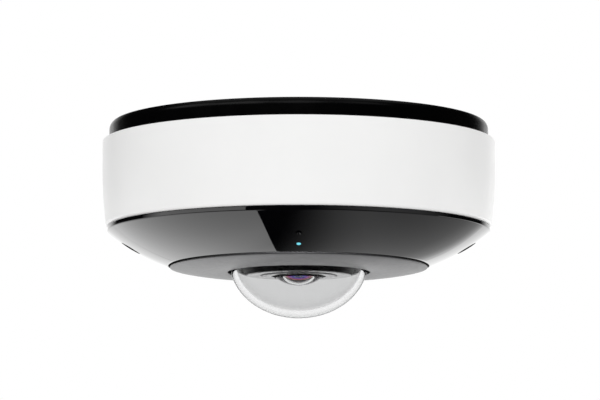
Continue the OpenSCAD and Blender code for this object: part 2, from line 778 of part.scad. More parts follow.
module front_window() {
    groove_top = boss_end + seal_groove_drop;
    color("#0b0b0d") difference() {
        union() {
            turned(concat([[collar_r, boss_end], [collar_r, ring_foot], [lip_r, ring_foot]],
                bend([lip_r, lip_foot - lip_round], crown_from, crown_line[0], round_steps),
                crown_line, [[window_in_r, window_foot]],
                crown_inner(window_wall, window_in_r, collar_in_r), [[collar_in_r, boss_end]]));
            intersection() {
                crown_core();
                around(cover_screw_count, cover_screw_r, cover_first)
                    bar(pillar_r, boss_end, window_foot);
            }
        }
        turned([[collar_r - seal_groove_t, groove_top], [collar_r + fit, groove_top],
            [collar_r + fit, groove_top + seal_groove_w],
            [collar_r - seal_groove_t, groove_top + seal_groove_w]]);
        around(cover_screw_count, cover_screw_r, cover_first) {
            bar(cover_recess_d / 2, cover_seat, window_foot);
            bar(cover_shank_d / 2 + close_fit, boss_end - over, cover_seat + over);
        }
        translate([0, -mic_r, 0]) bar(mic_hole_d / 2, ring_foot, window_foot);
        translate([0, -light_r, 0]) bar(light_d / 2 + glass_gap, ring_foot, window_foot);
    }
}

module cover_screws() {
    color("#3a3a3d") around(cover_screw_count, cover_screw_r, cover_first) difference() {
        screw(cover_head_d, cover_head_h, cover_shank_d, cover_shank_l, cover_seat);
        translate([0, 0, -cover_seat - cover_head_h - over])
            cylinder(d = drive_socket_d, h = drive_socket_h + over, $fn = 6);
    }
}

module dome_bezel() {
    collar_in = bezel_collar_r - bezel_collar_wall;
    color("#3c3c3e") difference() {
        union() {
            turned(concat(
                arc([bezel_r - bezel_round, bezel_foot - bezel_round], bezel_round, 0, 90, round_steps),
                arc([bezel_in_r + bezel_round, bezel_inner_foot - bezel_round], bezel_round, 90, 180,
                    round_steps),
                [[bezel_in_r, bezel_top], [collar_in, bezel_top], [collar_in, bezel_top - bezel_collar_h],
                [bezel_collar_r, bezel_top - bezel_collar_h], [bezel_collar_r, bezel_top],
                [bezel_r, bezel_top]]));
            for (i = [0:hook_count - 1])
                sector(bezel_collar_r - bezel_collar_wall / 2, hook_r, hook_foot - hook_t, hook_foot,
                    (i + 0.5) * 360 / hook_count, hook_deg);
            around(clamp_screw_count, clamp_screw_r, board_first)
                bar(clamp_boss_r, flange_top, bezel_top + bezel_edge_t / 2);
        }
        around(clamp_screw_count, clamp_screw_r, board_first)
            bar(clamp_screw_d / 2 + close_fit, flange_top - over, clamp_top + clamp_shank_l + close_fit);
    }
}

module dome() {
    color("#dfe6ea", 0.4) turned(concat(bowl(dome_r, dome_h, dome_rim, 2 * curve_steps),
        [[dome_flange_r, dome_rim], [dome_flange_r, flange_top], [dome_r - dome_wall, flange_top]],
        [for (i = [0:2 * curve_steps])
            bowl(dome_r - dome_wall, dome_h - dome_wall, dome_rim, 2 * curve_steps)[2 * curve_steps - i]]));
}

module dome_seal() {
    seal_in_r = bezel_in_r + dome_seal_w * seal_inset_share;
    color("#2a2a2c") turned([[seal_in_r, dome_rim], [seal_in_r + dome_seal_w, dome_rim],
        [seal_in_r + dome_seal_w, bezel_top], [seal_in_r, bezel_top]]);
}

module dome_clamp() {
    color("#2c2c2f") difference() {
        turned([[clamp_in_r, clamp_top], [clamp_r, clamp_top], [clamp_r, flange_top + clamp_rim_h],
            [clamp_r - clamp_rim_w, flange_top + clamp_rim_h], [clamp_r - clamp_rim_w, flange_top],
            [clamp_in_r, flange_top]]);
        around(clamp_screw_count, clamp_screw_r, board_first)
            bar(clamp_screw_d / 2 + close_fit, clamp_top - over, flange_top + over);
    }
}

module clamp_screws() {
    color("#8d8f93") around(clamp_screw_count, clamp_screw_r, board_first) difference() {
        union() {
            bar(clamp_head_d / 2, clamp_top - clamp_head_h, clamp_top);
            bar(clamp_screw_d / 2, clamp_top - clamp_head_h / 2, clamp_top + clamp_shank_l);
        }
        translate([0, 0, -clamp_top + clamp_head_h / 2])
            cylinder(r = clamp_screw_d / 2, h = clamp_head_h, $fn = 6);
    }
}

module lens_liner() {
    hole_r = retainer_r + fit;
    color("#343437") turned(concat(
        [[liner_flange_r, clamp_top - liner_wall], [liner_flange_r, clamp_top], [liner_neck_r, clamp_top],
        [liner_neck_r, dome_rim]],
        arc([liner_plate_r - liner_round / 2, plate_level - liner_round], liner_round, neck_lean_deg, 90,
            round_steps),
        [[hole_r, plate_level], [hole_r, plate_level - liner_wall],
        [liner_plate_r - liner_wall, plate_level - liner_wall], [liner_neck_r - liner_wall, dome_rim],
        [liner_neck_r - liner_wall, clamp_top - liner_wall]]));
}

module lens_retainer() {
    bevel = retainer_t * retainer_bevel_share;
    edge = retainer_t * retainer_edge_share;
    color("#39393c") difference() {
        turned([[retainer_in_r, retainer_top], [retainer_in_r, retainer_top + bevel],
            [retainer_in_r + bevel, retainer_foot], [retainer_r - edge, retainer_foot],
            [retainer_r, retainer_foot - edge], [retainer_r, retainer_top]]);
        around(2, retainer_r, 0)
            block(2 * notch_reach, notch_w, retainer_foot - bevel, retainer_foot + over);
    }
}

module lens_barrel() {
    bore_r = front_glass_rim_r + close_fit;
    color("#232326") turned([[bore_r, retainer_top], [barrel_front_r, retainer_top],
        [barrel_front_r, barrel_shoulder], [barrel_waist_r, barrel_shoulder],
        [barrel_waist_r, barrel_waist_top], [barrel_thread_r, barrel_waist_top],
        [barrel_thread_r, barrel_end], [rear_glass_r - barrel_lip_w, barrel_end],
        [rear_glass_r - barrel_lip_w, rear_seat], [rear_glass_r + close_fit, rear_seat],
        [rear_glass_r + close_fit, stop_top], [stop_r, stop_top], [stop_r, stop_foot],
        [second_open_r, second_seat], [second_rim_r + close_fit, second_seat],
        [second_rim_r + close_fit, front_seat], [bore_r, front_seat]]);
}

module front_glass() {
    color("#aeb7c4", 0.5) difference() {
        intersection() {
            ball(front_glass_r, front_mid);
            bar(front_glass_rim_r, front_seat, lens_foot + over);
        }
        ball(hollow_r, hollow_mid);
    }
}

module second_glass() {
    color("#6a4fa8", 0.7) difference() {
        intersection() {
            ball(second_ball_r, second_mid);
            bar(second_rim_r, second_seat, second_foot + over);
        }
        ball(second_hollow_r, second_hollow_mid);
    }
}

module third_glass() {
    color("#8fa2c8", 0.7) intersection() {
        ball(third_ball_r, stop_top - third_t + third_ball_r);
        bar(rear_glass_r, stop_top - third_t - over, stop_top);
    }
}

module lens_spacer() {
    spacer_in_r = rear_glass_r - spacer_wall;
    third_mid = stop_top - third_t + third_ball_r;
    spacer_foot = 2 * third_mid - ball_drop(third_mid, third_ball_r, spacer_in_r) - glass_gap;
    spacer_top = ball_drop(rear_seat + rear_t - rear_ball_r, rear_ball_r, spacer_in_r) + glass_gap;
    color("#3a3a3d") turned([[spacer_in_r, spacer_top], [rear_glass_r, spacer_top],
        [rear_glass_r, spacer_foot], [spacer_in_r, spacer_foot]]);
}

module rear_glass() {
    color("#8fa2c8", 0.7) intersection() {
        ball(rear_ball_r, rear_seat + rear_t - rear_ball_r);
        bar(rear_glass_r, rear_seat, rear_seat + rear_t + over);
    }
}

module lens_holder() {
    base_foot = sensor_board_foot + holder_base_h;
    color("#1e1e20") difference() {
        union() {
            rounded_plate(holder_side, holder_wall, sensor_board_foot, base_foot);
            bar(thread_bore_r + holder_wall, base_foot - holder_base_h / 2, barrel_waist_top);
        }
        block(holder_cavity, holder_cavity, sensor_board_foot - over, filter_foot);
        block(filter_side - 2 * diaphragm_edge, filter_side - 2 * diaphragm_edge, filter_foot - over,
            base_foot);
        bar(thread_bore_r, filter_foot + diaphragm_t, barrel_waist_top + over);
    }
}

module filter_glass() {
    color("#9fc7d8", 0.6) block(filter_side, filter_side, filter_top, filter_foot);
}

module image_sensor() {
    cover_side = sensor_side - 2 * sensor_window_edge;
    color("#3f4a46") union() {
        block(sensor_side, sensor_side, sensor_board_foot, sensor_board_foot + sensor_t - sensor_cover_t);
        block(cover_side, cover_side, sensor_board_foot + sensor_t / 2, sensor_board_foot + sensor_t);
    }
}

module sensor_board() {
    color("#1f4a35") difference() {
        rounded_plate(sensor_board_side, sensor_board_round, sensor_board_top, sensor_board_foot);
        for (x = [-1, 1], y = [-1, 1]) translate([x, y, 0] * post_pitch / 2)
            bar(post_screw_d / 2 + close_fit, sensor_board_top - over, sensor_board_foot + over);
    }
}

module sensor_posts() {
    color("#c8b070") for (x = [-1, 1], y = [-1, 1]) translate([x, y, 0] * post_pitch / 2)
        post(board_foot, sensor_board_top);
}

module board_connector() {
    middle = (board_foot + sensor_board_top) / 2;
    color("#d8d2c0") translate([0, connector_y, 0]) {
        block(connector_w, connector_l, board_foot, middle);
        block(connector_w - 2 * connector_step, connector_l - 2 * connector_step, middle, sensor_board_top);
    }
}

module main_board() {
    color("#1f4a35") difference() {
        bar(board_r, board_drop, board_foot);
        around(board_screw_count, board_screw_r, board_first)
            bar(board_screw_d / 2 + close_fit, board_drop - over, board_foot + over);
    }
}

module board_screws() {
    color("#9a9ca0") around(board_screw_count, board_screw_r, board_first)
        screw(board_head_d, board_head_h, board_screw_d, board_shank_l, board_foot);
}

module processor() {
    color("#2a2b2e") translate([chip_x, chip_y, 0])
        block(chip_side, chip_side, board_drop - chip_h, board_drop);
}

module memory_chips() {
    color("#2a2b2e") for (i = [-1, 1]) translate([-memory_x, memory_y + i * memory_pitch / 2, 0])
        block(memory_w, memory_l, board_drop - memory_h, board_drop);
}

module heat_pad() {
    color("#b9c4cf") translate([chip_x, chip_y, 0])
        block(chip_side, chip_side, board_drop - chip_h - pad_t, board_drop - chip_h);
}

module heat_spreader() {
    spreader_foot = board_drop - chip_h - pad_t;
    pitch = spreader_side / (spreader_grooves + 1);
    color("#b4b6ba") translate([chip_x, chip_y, 0]) difference() {
        block(spreader_side, spreader_side, floor_foot, spreader_foot);
        for (i = [1:spreader_grooves]) translate([-spreader_side / 2 + i * pitch, 0, 0])
            block(spreader_groove_w, spreader_side + 2 * over, floor_foot - over,
                floor_foot + spreader_groove_h);
    }
}

module network_jack() {
    color("#a9abae") translate([0, jack_y, 0]) difference() {
        block(jack_w, jack_l, floor_top, board_drop);
        translate([0, -latch_l / 2, 0]) block(socket_w, socket_l, floor_top - over, floor_top + socket_depth);
        translate([0, socket_l / 2 - latch_l / 2, 0])
            block(latch_w, 2 * latch_l, floor_top - over, floor_top + socket_depth);
    }
}

module jack_contacts() {
    wall_y = jack_y - latch_l / 2 - socket_l / 2;
    color("#c9a24a") for (i = [0:contact_count - 1])
        translate([(i - (contact_count - 1) / 2) * contact_pitch, wall_y + contact_w / 2, 0])
            block(contact_w, contact_w, floor_top + contact_drop, floor_top + contact_drop + contact_l);
}

module infrared_board() {
    color("#1f4a35") difference() {
        turned([[ir_board_in_r, ir_board_top], [ir_board_r, ir_board_top],
            [ir_board_r, ir_board_foot], [ir_board_in_r, ir_board_foot]]);
        around(cover_screw_count, cover_screw_r, cover_first)
            bar(pillar_r + fit, ir_board_top - over, ir_board_foot + over);
        around(long_post_count, long_post_r, post_first)
            bar(post_screw_d / 2 + close_fit, ir_board_top - over, ir_board_foot + over);
    }
}

module infrared_lamps() {
    body_foot = ir_board_foot + ir_body_h;
    color("#e8e4da") around(ir_count, ir_circle_r, lamp_first) union() {
        block(ir_side, ir_side, ir_board_foot, body_foot);
        intersection() {
            ball(ir_lens_r, body_foot);
            bar(ir_lens_r, body_foot - ir_body_h / 2, body_foot + ir_lens_r);
        }
    }
}

module infrared_baffle() {
    color("#1a1a1c") turned([[baffle_r - baffle_wall, ir_board_foot], [baffle_r, ir_board_foot],
        [baffle_r, bezel_top - fit], [baffle_r - baffle_wall, bezel_top - fit]]);
}

module long_posts() {
    color("#c8b070") around(long_post_count, long_post_r, post_first) post(board_foot, ir_board_top);
}

module ribbon_cable() {
    color("#b8863a") translate([-ribbon_x, ribbon_w / 2, 0]) rotate([90, 0, 0])
        linear_extrude(ribbon_w) polygon([[ribbon_foot, -board_foot], [-ribbon_t, -board_foot],
            [-ribbon_t, -ir_board_top + ribbon_t], [-ribbon_foot, -ir_board_top + ribbon_t],
            [-ribbon_foot, -ir_board_top], [0, -ir_board_top], [0, -board_foot - ribbon_t],
            [ribbon_foot, -board_foot - ribbon_t]]);
}

module microphone() {
    color("#c8c4b4") translate([0, -mic_r, 0]) block(mic_w, mic_l, ir_board_foot, ir_board_foot + mic_h);
}

module microphone_boot() {
    color("#2a2a2c") intersection() {
        window_room();
        translate([0, -mic_r, 0]) difference() {
            bar(boot_r, ir_board_foot + mic_h, window_foot);
            bar(mic_hole_d / 2, ir_board_foot, window_foot + over);
        }
    }
}

module status_lamp() {
    color("#e8e4da") translate([0, -light_r, 0]) block(lamp_w, lamp_w, ir_board_foot, ir_board_foot + lamp_h);
}

module status_light() {
    guide_top = ir_board_foot + lamp_h + guide_gap;
    color("#59d6f2") union() {
        intersection() {
            crown_core();
            translate([0, -light_r, 0]) bar(light_d / 2, guide_top, window_foot);
        }
        translate([0, -light_r, 0])
            bar(light_d / 2 + guide_flange, guide_top + guide_flange_t, guide_top + 2 * guide_flange_t);
    }
}

module reset_switch() {
    color("#46474b") translate([button_x, button_y, 0]) difference() {
        block(switch_side, switch_side, switch_top, board_drop);
        bar(plunger_d / 2 + button_gap, switch_top - over, plunger_hole_foot);
    }
}

module switch_plunger() {
    color("#d0c9b8") translate([button_x, button_y, 0]) bar(plunger_d / 2, stem_foot, plunger_foot);
}

module reset_button() {
    button_top = floor_top - button_proud;
    color("#5a5b60") translate([button_x, button_y, 0]) union() {
        turned([[0, button_top], [button_d / 2 - button_edge, button_top],
            [button_d / 2, button_top + button_edge], [button_d / 2, button_flange_top],
            [button_d / 2 + button_flange, button_flange_top],
            [button_d / 2 + button_flange, button_flange_top + button_flange_t],
            [button_stem_d / 2, button_flange_top + button_flange_t], [button_stem_d / 2, stem_foot],
            [0, stem_foot]]);
    }
}

mount_plate();
ceiling_gasket();
side_ring();
rear_housing();
window_seal();
front_window();
cover_screws();
dome_bezel();
dome();
dome_seal();
dome_clamp();
clamp_screws();
lens_liner();
lens_retainer();
lens_barrel();
front_glass();
second_glass();
third_glass();
lens_spacer();
rear_glass();
lens_holder();
filter_glass();
image_sensor();
sensor_board();
sensor_posts();
board_connector();
main_board();
board_screws();
processor();
memory_chips();
heat_pad();
heat_spreader();
network_jack();
jack_contacts();
infrared_board();
infrared_lamps();
infrared_baffle();
long_posts();
ribbon_cable();
microphone();
microphone_boot();
status_lamp();
status_light();
reset_switch();
switch_plunger();
reset_button();
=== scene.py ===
"""A ceiling fisheye camera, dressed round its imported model.

The camera hangs from the plane z = 0 down to -Z and its front faces -Y. Outlines are written
in millimetres as (radius, drop), where drop is the distance below the ceiling.
"""
import math

import bpy
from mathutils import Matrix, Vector


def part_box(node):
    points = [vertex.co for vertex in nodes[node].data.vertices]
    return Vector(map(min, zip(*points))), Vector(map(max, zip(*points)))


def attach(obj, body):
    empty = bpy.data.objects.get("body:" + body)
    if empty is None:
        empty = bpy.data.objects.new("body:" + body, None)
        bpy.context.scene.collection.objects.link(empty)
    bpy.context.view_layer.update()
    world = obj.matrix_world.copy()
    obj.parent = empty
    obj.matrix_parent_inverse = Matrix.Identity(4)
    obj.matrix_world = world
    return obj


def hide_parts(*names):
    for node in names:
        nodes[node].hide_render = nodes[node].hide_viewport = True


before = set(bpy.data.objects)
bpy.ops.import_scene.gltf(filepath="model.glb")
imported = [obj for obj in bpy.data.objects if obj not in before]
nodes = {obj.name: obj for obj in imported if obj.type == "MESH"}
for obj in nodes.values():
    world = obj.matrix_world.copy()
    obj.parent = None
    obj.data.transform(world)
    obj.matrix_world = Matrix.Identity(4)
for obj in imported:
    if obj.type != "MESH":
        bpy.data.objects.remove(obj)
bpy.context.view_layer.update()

MM = 0.001
ROUND = 192
# How far a cutter runs past what it cuts
OVERRUN = 3.0

# The photograph's frame and the camera that was fitted to it
LENS_MM = 230.97
CAMERA_BACK = 1.4612
CAMERA_DROP = 0.2091
CAMERA_PITCH = 7.01
FRAME_SHIFT = (0.0021, 0.0004)


def drops(node):
    """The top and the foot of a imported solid, as drops in millimetres."""
    low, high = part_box(node)
    return round(-high[2] / MM, 3), round(-low[2] / MM, 3)


def reach(node):
    """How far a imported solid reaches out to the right, in millimetres."""
    return round(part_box(node)[1][0] / MM, 3)


def forward(node):
    """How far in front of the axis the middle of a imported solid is, in millimetres."""
    low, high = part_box(node)
    return round(-(low[1] + high[1]) / 2 / MM, 3)


RING_TOP, RING_FOOT = drops("side_ring")
RIM_TOP, RIM_FOOT = drops("ceiling_gasket")
WINDOW_TOP, WINDOW_FOOT = drops("front_window")
SCREW_TOP, SCREW_FOOT = drops("cover_screws")
BEZEL_LIP = drops("dome_bezel")[1]
FLANGE_TOP, DOME_FOOT = drops("dome")
LINER_TOP, PLATE_LEVEL = drops("lens_liner")
RETAINER_TOP = drops("lens_retainer")[0]
GLASS_SEAT, LENS_FOOT = drops("front_glass")
WINDOW_R = reach("front_window")
BEZEL_R = reach("dome_bezel")
GLASS_R = reach("front_glass")


# Outlines

def arc(middle, radius, start, end, steps):
    """Points of an arc in (radius, drop), by angle in degrees from the outward direction."""
    points = []
    for i in range(steps + 1):
        angle = math.radians(start + (end - start) * i / steps)
        points.append((middle[0] + radius * math.cos(angle), middle[1] + radius * math.sin(angle)))
    return points


def bowl(radius, depth, rim, steps):
    """Points of a quarter ellipse from its foot on the axis out to its rim."""
    points = []
    for i in range(steps + 1):
        angle = math.radians(90 * i / steps)
        points.append((radius * math.sin(angle), rim + depth * math.cos(angle)))
    return points


def cap(ball_radius, tip, out, steps):
    """Points of a ball's face from its tip on the axis out to a radius.

    The face bulges downwards, or is hollow where the ball's radius is under 0.
    """
    points = []
    for i in range(steps + 1):
        radius = out * i / steps
        sag = abs(ball_radius) - math.sqrt(ball_radius ** 2 - radius ** 2)
        points.append((radius, tip - math.copysign(sag, ball_radius)))
    return points


# The largest share of a side that the rounding of one corner takes
CORNER_SHARE = 0.45


def rounded(before, corner, after, radius, steps=4):
    """Points that round off one corner of an outline."""
    here = Vector(corner)
    back = Vector(before) - here
    ahead = Vector(after) - here
    taken = min(radius, back.length * CORNER_SHARE, ahead.length * CORNER_SHARE)
    start = here + back.normalized() * taken
    end = here + ahead.normalized() * taken
    points = []
    for k in range(steps + 1):
        t = k / steps
        spot = start * (1 - t) ** 2 + here * 2 * t * (1 - t) + end * t ** 2
        points.append((spot.x, spot.y))
    return points


def turned_line(radius, face, depth):
    """A fine groove turned in a flat face, from its outer edge in."""
    half = 0.1
    return [(radius + half, face), (radius, face - depth), (radius - half, face)]


# Modelling

def deselect():
    """Leaves nothing selected, so that an operator acts on its own piece alone."""
    bpy.ops.object.select_all(action="DESELECT")


def take(piece):
    """Makes a piece the only one selected."""
    deselect()
    piece.select_set(True)
    bpy.context.view_layer.objects.active = piece


def named(piece, name):
    """Gives a piece and its mesh one name."""
    piece.name = name
    piece.data.name = name
    return piece


def drawn(name, points):
    """A new piece in edit mode: a chain of edges through points in metres, all selected."""
    deselect()
    bpy.ops.mesh.primitive_plane_add(size=1, location=(0, 0, 0))
    piece = named(bpy.context.object, name)
    bpy.ops.object.mode_set(mode="EDIT")
    bpy.ops.mesh.select_mode(type="VERT")
    bpy.ops.mesh.merge(type="CENTER")
    bpy.ops.transform.translate(value=points[0])
    for start, end in zip(points, points[1:]):
        step = [there - here for here, there in zip(start, end)]
        bpy.ops.mesh.extrude_vertices_move(TRANSFORM_OT_translate={"value": step})
    bpy.ops.mesh.select_all(action="SELECT")
    return piece


def spun(name, outline, steps=ROUND, about=(0, 0)):
    """An outline spun about a vertical axis, and closed first where it keeps off the axis."""
    points = [(radius * MM, 0, -drop * MM) for radius, drop in outline]
    if points[0][0] > 0:
        points.append(points[0])
    piece = drawn(name, points)
    bpy.ops.mesh.spin(steps=steps, angle=math.tau, center=(0, 0, 0), axis=(0, 0, 1))
    bpy.ops.mesh.select_all(action="SELECT")
    bpy.ops.mesh.remove_doubles(threshold=0.0015 * MM)
    bpy.ops.mesh.normals_make_consistent(inside=False)
    if about != (0, 0):
        bpy.ops.transform.translate(value=(about[0] * MM, about[1] * MM, 0))
    bpy.ops.object.mode_set(mode="OBJECT")
    return piece


def rod(radius, top, foot, about, sides=64):
    """A plain round cutter or filler between two drops."""
    deselect()
    bpy.ops.mesh.primitive_cylinder_add(
        vertices=sides, radius=radius * MM, depth=(foot - top) * MM,
        location=(about[0] * MM, about[1] * MM, -(top + foot) / 2 * MM))
    piece = bpy.context.object
    bpy.ops.object.transform_apply(location=True, rotation=True, scale=True)
    return piece


def bar(size, middle):
    """A plain box cutter, by size and middle in millimetres."""
    deselect()
    bpy.ops.mesh.primitive_cube_add(size=1, location=[c * MM for c in middle])
    piece = bpy.context.object
    piece.scale = [s * MM for s in size]
    bpy.ops.object.transform_apply(location=True, rotation=True, scale=True)
    return piece


def combine(piece, other, way):
    """Joins, cuts or keeps the overlap of two pieces, and takes the second away."""
    take(piece)
    modifier = piece.modifiers.new(way.lower(), "BOOLEAN")
    modifier.operation = way
    modifier.solver = "EXACT"
    modifier.object = other
    bpy.ops.object.modifier_apply(modifier=modifier.name)
    bpy.data.objects.remove(other)
    return piece


def eased(piece, width):
    """Small rounded edges on a piece's sharp corners."""
    take(piece)
    modifier = piece.modifiers.new("eased edges", "BEVEL")
    modifier.width = width * MM
    modifier.segments = 2
    modifier.limit_method = "ANGLE"
    modifier.angle_limit = math.radians(28)
    modifier.harden_normals = False
    modifier.use_clamp_overlap = True
    bpy.ops.object.modifier_apply(modifier=modifier.name)
    return piece


def smooth(piece, angle=32, even=True):
    """Smooth shading up to an angle, with large faces kept flat next to small roundings."""
    take(piece)
    bpy.ops.object.shade_smooth_by_angle(angle=math.radians(angle))
    if even:
        modifier = piece.modifiers.new("even normals", "WEIGHTED_NORMAL")
        modifier.keep_sharp = True
        bpy.ops.object.modifier_apply(modifier=modifier.name)
    return piece


def from_node(name, node, ease=0.0):
    """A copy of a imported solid, its loose triangles merged and its edges eased."""
    deselect()
    piece = nodes[node].copy()
    piece.data = nodes[node].data.copy()
    piece.parent = None
    for key in list(piece.keys()):
        del piece[key]
    bpy.context.scene.collection.objects.link(piece)
    named(piece, name)
    piece.data.materials.clear()
    take(piece)
    bpy.ops.object.mode_set(mode="EDIT")
    bpy.ops.mesh.select_all(action="SELECT")
    bpy.ops.mesh.remove_doubles(threshold=0.002 * MM)
    bpy.ops.mesh.dissolve_limited(angle_limit=math.radians(0.5))
    bpy.ops.object.mode_set(mode="OBJECT")
    if ease:
        eased(piece, ease)
    return smooth(piece)


def fit_out(piece, body, material, slot, *stands_for):
    """Gives a finished piece its finish, its body and the nodes it stands for; the slot is not
    used.
    """
    piece.data.materials.clear()
    piece.data.materials.append(material)
    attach(piece, body)
    if stands_for:
        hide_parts(*stands_for)
    return piece


# Finishes

def finish(name, colour, roughness, metallic=0.0, ior=1.5, mottle=0.0, mottle_scale=60.0,
           wear=0.0, grain=0.0, grain_scale=2500.0, stretch=(1, 1, 1), **fixed):
    """A surface with its own grain, uneven gloss and slight unevenness of colour."""
    material = bpy.data.materials.new(name)
    material.use_nodes = True
    tree = material.node_tree
    shader = tree.nodes["Principled BSDF"]
    shader.inputs["Metallic"].default_value = metallic
    shader.inputs["IOR"].default_value = ior
    shader.inputs["Base Color"].default_value = (*colour, 1)
    shader.inputs["Roughness"].default_value = roughness
    for key, value in fixed.items():
        shader.inputs[key.replace("_", " ").title().replace("Ior", "IOR")].default_value = value
    place = tree.nodes.new("ShaderNodeTexCoord")
    lay = tree.nodes.new("ShaderNodeMapping")
    lay.inputs["Scale"].default_value = stretch
    tree.links.new(place.outputs["Object"], lay.inputs["Vector"])

    def cloud(scale, detail):
        """An uneven pattern laid on the piece."""
        noise = tree.nodes.new("ShaderNodeTexNoise")
        noise.inputs["Scale"].default_value = scale
        noise.inputs["Detail"].default_value = detail
        tree.links.new(lay.outputs["Vector"], noise.inputs["Vector"])
        return noise.outputs["Fac"]

    # The part of the pattern's range that colour and gloss follow
    thin, thick = 0.3, 0.7
    if mottle:
        tone = tree.nodes.new("ShaderNodeValToRGB")
        dark, pale = tone.color_ramp.elements
        dark.position, pale.position = thin, thick
        dark.color = (*[c * (1 - mottle) for c in colour], 1)
        pale.color = (*[min(1.0, c * (1 + mottle)) for c in colour], 1)
        tree.links.new(cloud(mottle_scale, 4), tone.inputs["Fac"])
        tree.links.new(tone.outputs["Color"], shader.inputs["Base Color"])
    if wear:
        gloss = tree.nodes.new("ShaderNodeMapRange")
        gloss.inputs["From Min"].default_value = thin
        gloss.inputs["From Max"].default_value = thick
        gloss.inputs["To Min"].default_value = max(0.0, roughness - wear)
        gloss.inputs["To Max"].default_value = roughness + wear
        tree.links.new(cloud(mottle_scale * 3, 6), gloss.inputs["Value"])
        tree.links.new(gloss.outputs["Result"], shader.inputs["Roughness"])
    if grain:
        relief = tree.nodes.new("ShaderNodeBump")
        relief.inputs["Strength"].default_value = 1.0
        relief.inputs["Distance"].default_value = grain * MM
        tree.links.new(cloud(grain_scale, 3), relief.inputs["Height"])
        tree.links.new(relief.outputs["Normal"], shader.inputs["Normal"])
    return material


white_moulding = finish("white moulding", (0.9, 0.9, 0.895), 0.36, mottle=0.008, wear=0.04,
                        grain=0.004, grain_scale=900)
rim_rubber = finish("rim rubber", (0.0006, 0.0006, 0.0007), 0.24, mottle=0.2, wear=0.04,
                    grain=0.006, grain_scale=3200, specular_ior_level=0.08)
smoked_gloss = finish("smoked gloss", (0.0012, 0.0012, 0.0016), 0.02, mottle=0.1, wear=0.008)
grained_bezel = finish("grained bezel", (0.15, 0.15, 0.153), 0.38, mottle=0.06, wear=0.03,
                       mottle_scale=220, grain=0.0022, grain_scale=5200, specular_ior_level=0.11)
satin_liner = finish("satin liner", (0.22, 0.22, 0.222), 0.12, mottle=0.1, wear=0.02,
                     mottle_scale=150, grain=0.0015, grain_scale=2600, specular_ior_level=1.0)
clear_dome = finish("clear dome", (0.798, 0.8, 0.802), 0.0, ior=1.22, transmission_weight=1.0)
lens_clear = finish("lens glass", (0.97, 0.97, 0.975), 0.0, ior=1.6, transmission_weight=1.0)
front_clear = finish("front lens glass", (0.97, 0.97, 0.975), 0.0, ior=1.6,
                     transmission_weight=1.0, specular_tint=(0.1, 0.06, 0.16, 1))
lens_coated = finish("coated glass", (0.9, 0.88, 0.97), 0.0, ior=1.75, transmission_weight=1.0,
                     thin_film_thickness=560.0, thin_film_ior=1.38)
black_anodised = finish("black anodised", (0.02, 0.02, 0.022), 0.24, mottle=0.2, wear=0.05,
                        grain=0.003, grain_scale=5000, stretch=(1, 1, 6))
black_moulding = finish("black moulding", (0.018, 0.018, 0.02), 0.52, mottle=0.2, wear=0.06,
                        grain=0.018, grain_scale=2200)
plate_moulding = finish("plate moulding", (0.026, 0.026, 0.028), 0.5, mottle=0.18, wear=0.07,
                        grain=0.02, grain_scale=1800)
matt_black = finish("matt black", (0.016, 0.016, 0.0165), 0.6, mottle=0.2, grain=0.008,
                    specular_ior_level=0.15)
seal_rubber = finish("seal rubber", (0.02, 0.02, 0.021), 0.6, mottle=0.2, grain=0.01)
black_screw = finish("black oxide", (0.03, 0.03, 0.032), 0.33, metallic=0.6, mottle=0.2,
                     wear=0.08, grain=0.004, grain_scale=6000)
zinc = finish("zinc plate", (0.6, 0.6, 0.58), 0.3, metallic=1.0, mottle=0.08, wear=0.08,
              grain=0.003, grain_scale=4000)
brass = finish("turned brass", (0.72, 0.53, 0.25), 0.28, metallic=1.0, mottle=0.08, wear=0.06,
               grain=0.003, stretch=(1, 1, 8))
gold = finish("gold flash", (0.9, 0.66, 0.27), 0.2, metallic=1.0, mottle=0.05, wear=0.04)
tin = finish("tinned shield", (0.6, 0.6, 0.61), 0.32, metallic=1.0, mottle=0.1, wear=0.1,
             grain=0.004, grain_scale=1600, stretch=(1, 1, 5))
aluminium = finish("extruded aluminium", (0.68, 0.69, 0.7), 0.34, metallic=1.0, mottle=0.05,
                   wear=0.06, grain=0.005, grain_scale=1500, stretch=(1, 12, 1))
solder_mask = finish("solder mask", (0.012, 0.09, 0.05), 0.3, mottle=0.35, mottle_scale=420,
                     wear=0.06, grain=0.02, grain_scale=700)
chip_epoxy = finish("chip epoxy", (0.022, 0.022, 0.024), 0.55, mottle=0.2, grain=0.006)
cream_moulding = finish("cream moulding", (0.74, 0.7, 0.6), 0.42, mottle=0.03, wear=0.05,
                        grain=0.005)
pad_silicone = finish("pad silicone", (0.36, 0.4, 0.46), 0.7, mottle=0.06, grain=0.02)
amber_film = finish("amber film", (0.5, 0.22, 0.04), 0.25, mottle=0.1, wear=0.05)
button_moulding = finish("button moulding", (0.09, 0.09, 0.095), 0.4, mottle=0.1, wear=0.05,
                         grain=0.01)
cyan_light = finish("cyan light", (0.12, 0.35, 0.42), 0.12, emission_color=(0.18, 0.84, 1.0, 1),
                    emission_strength=0.56)


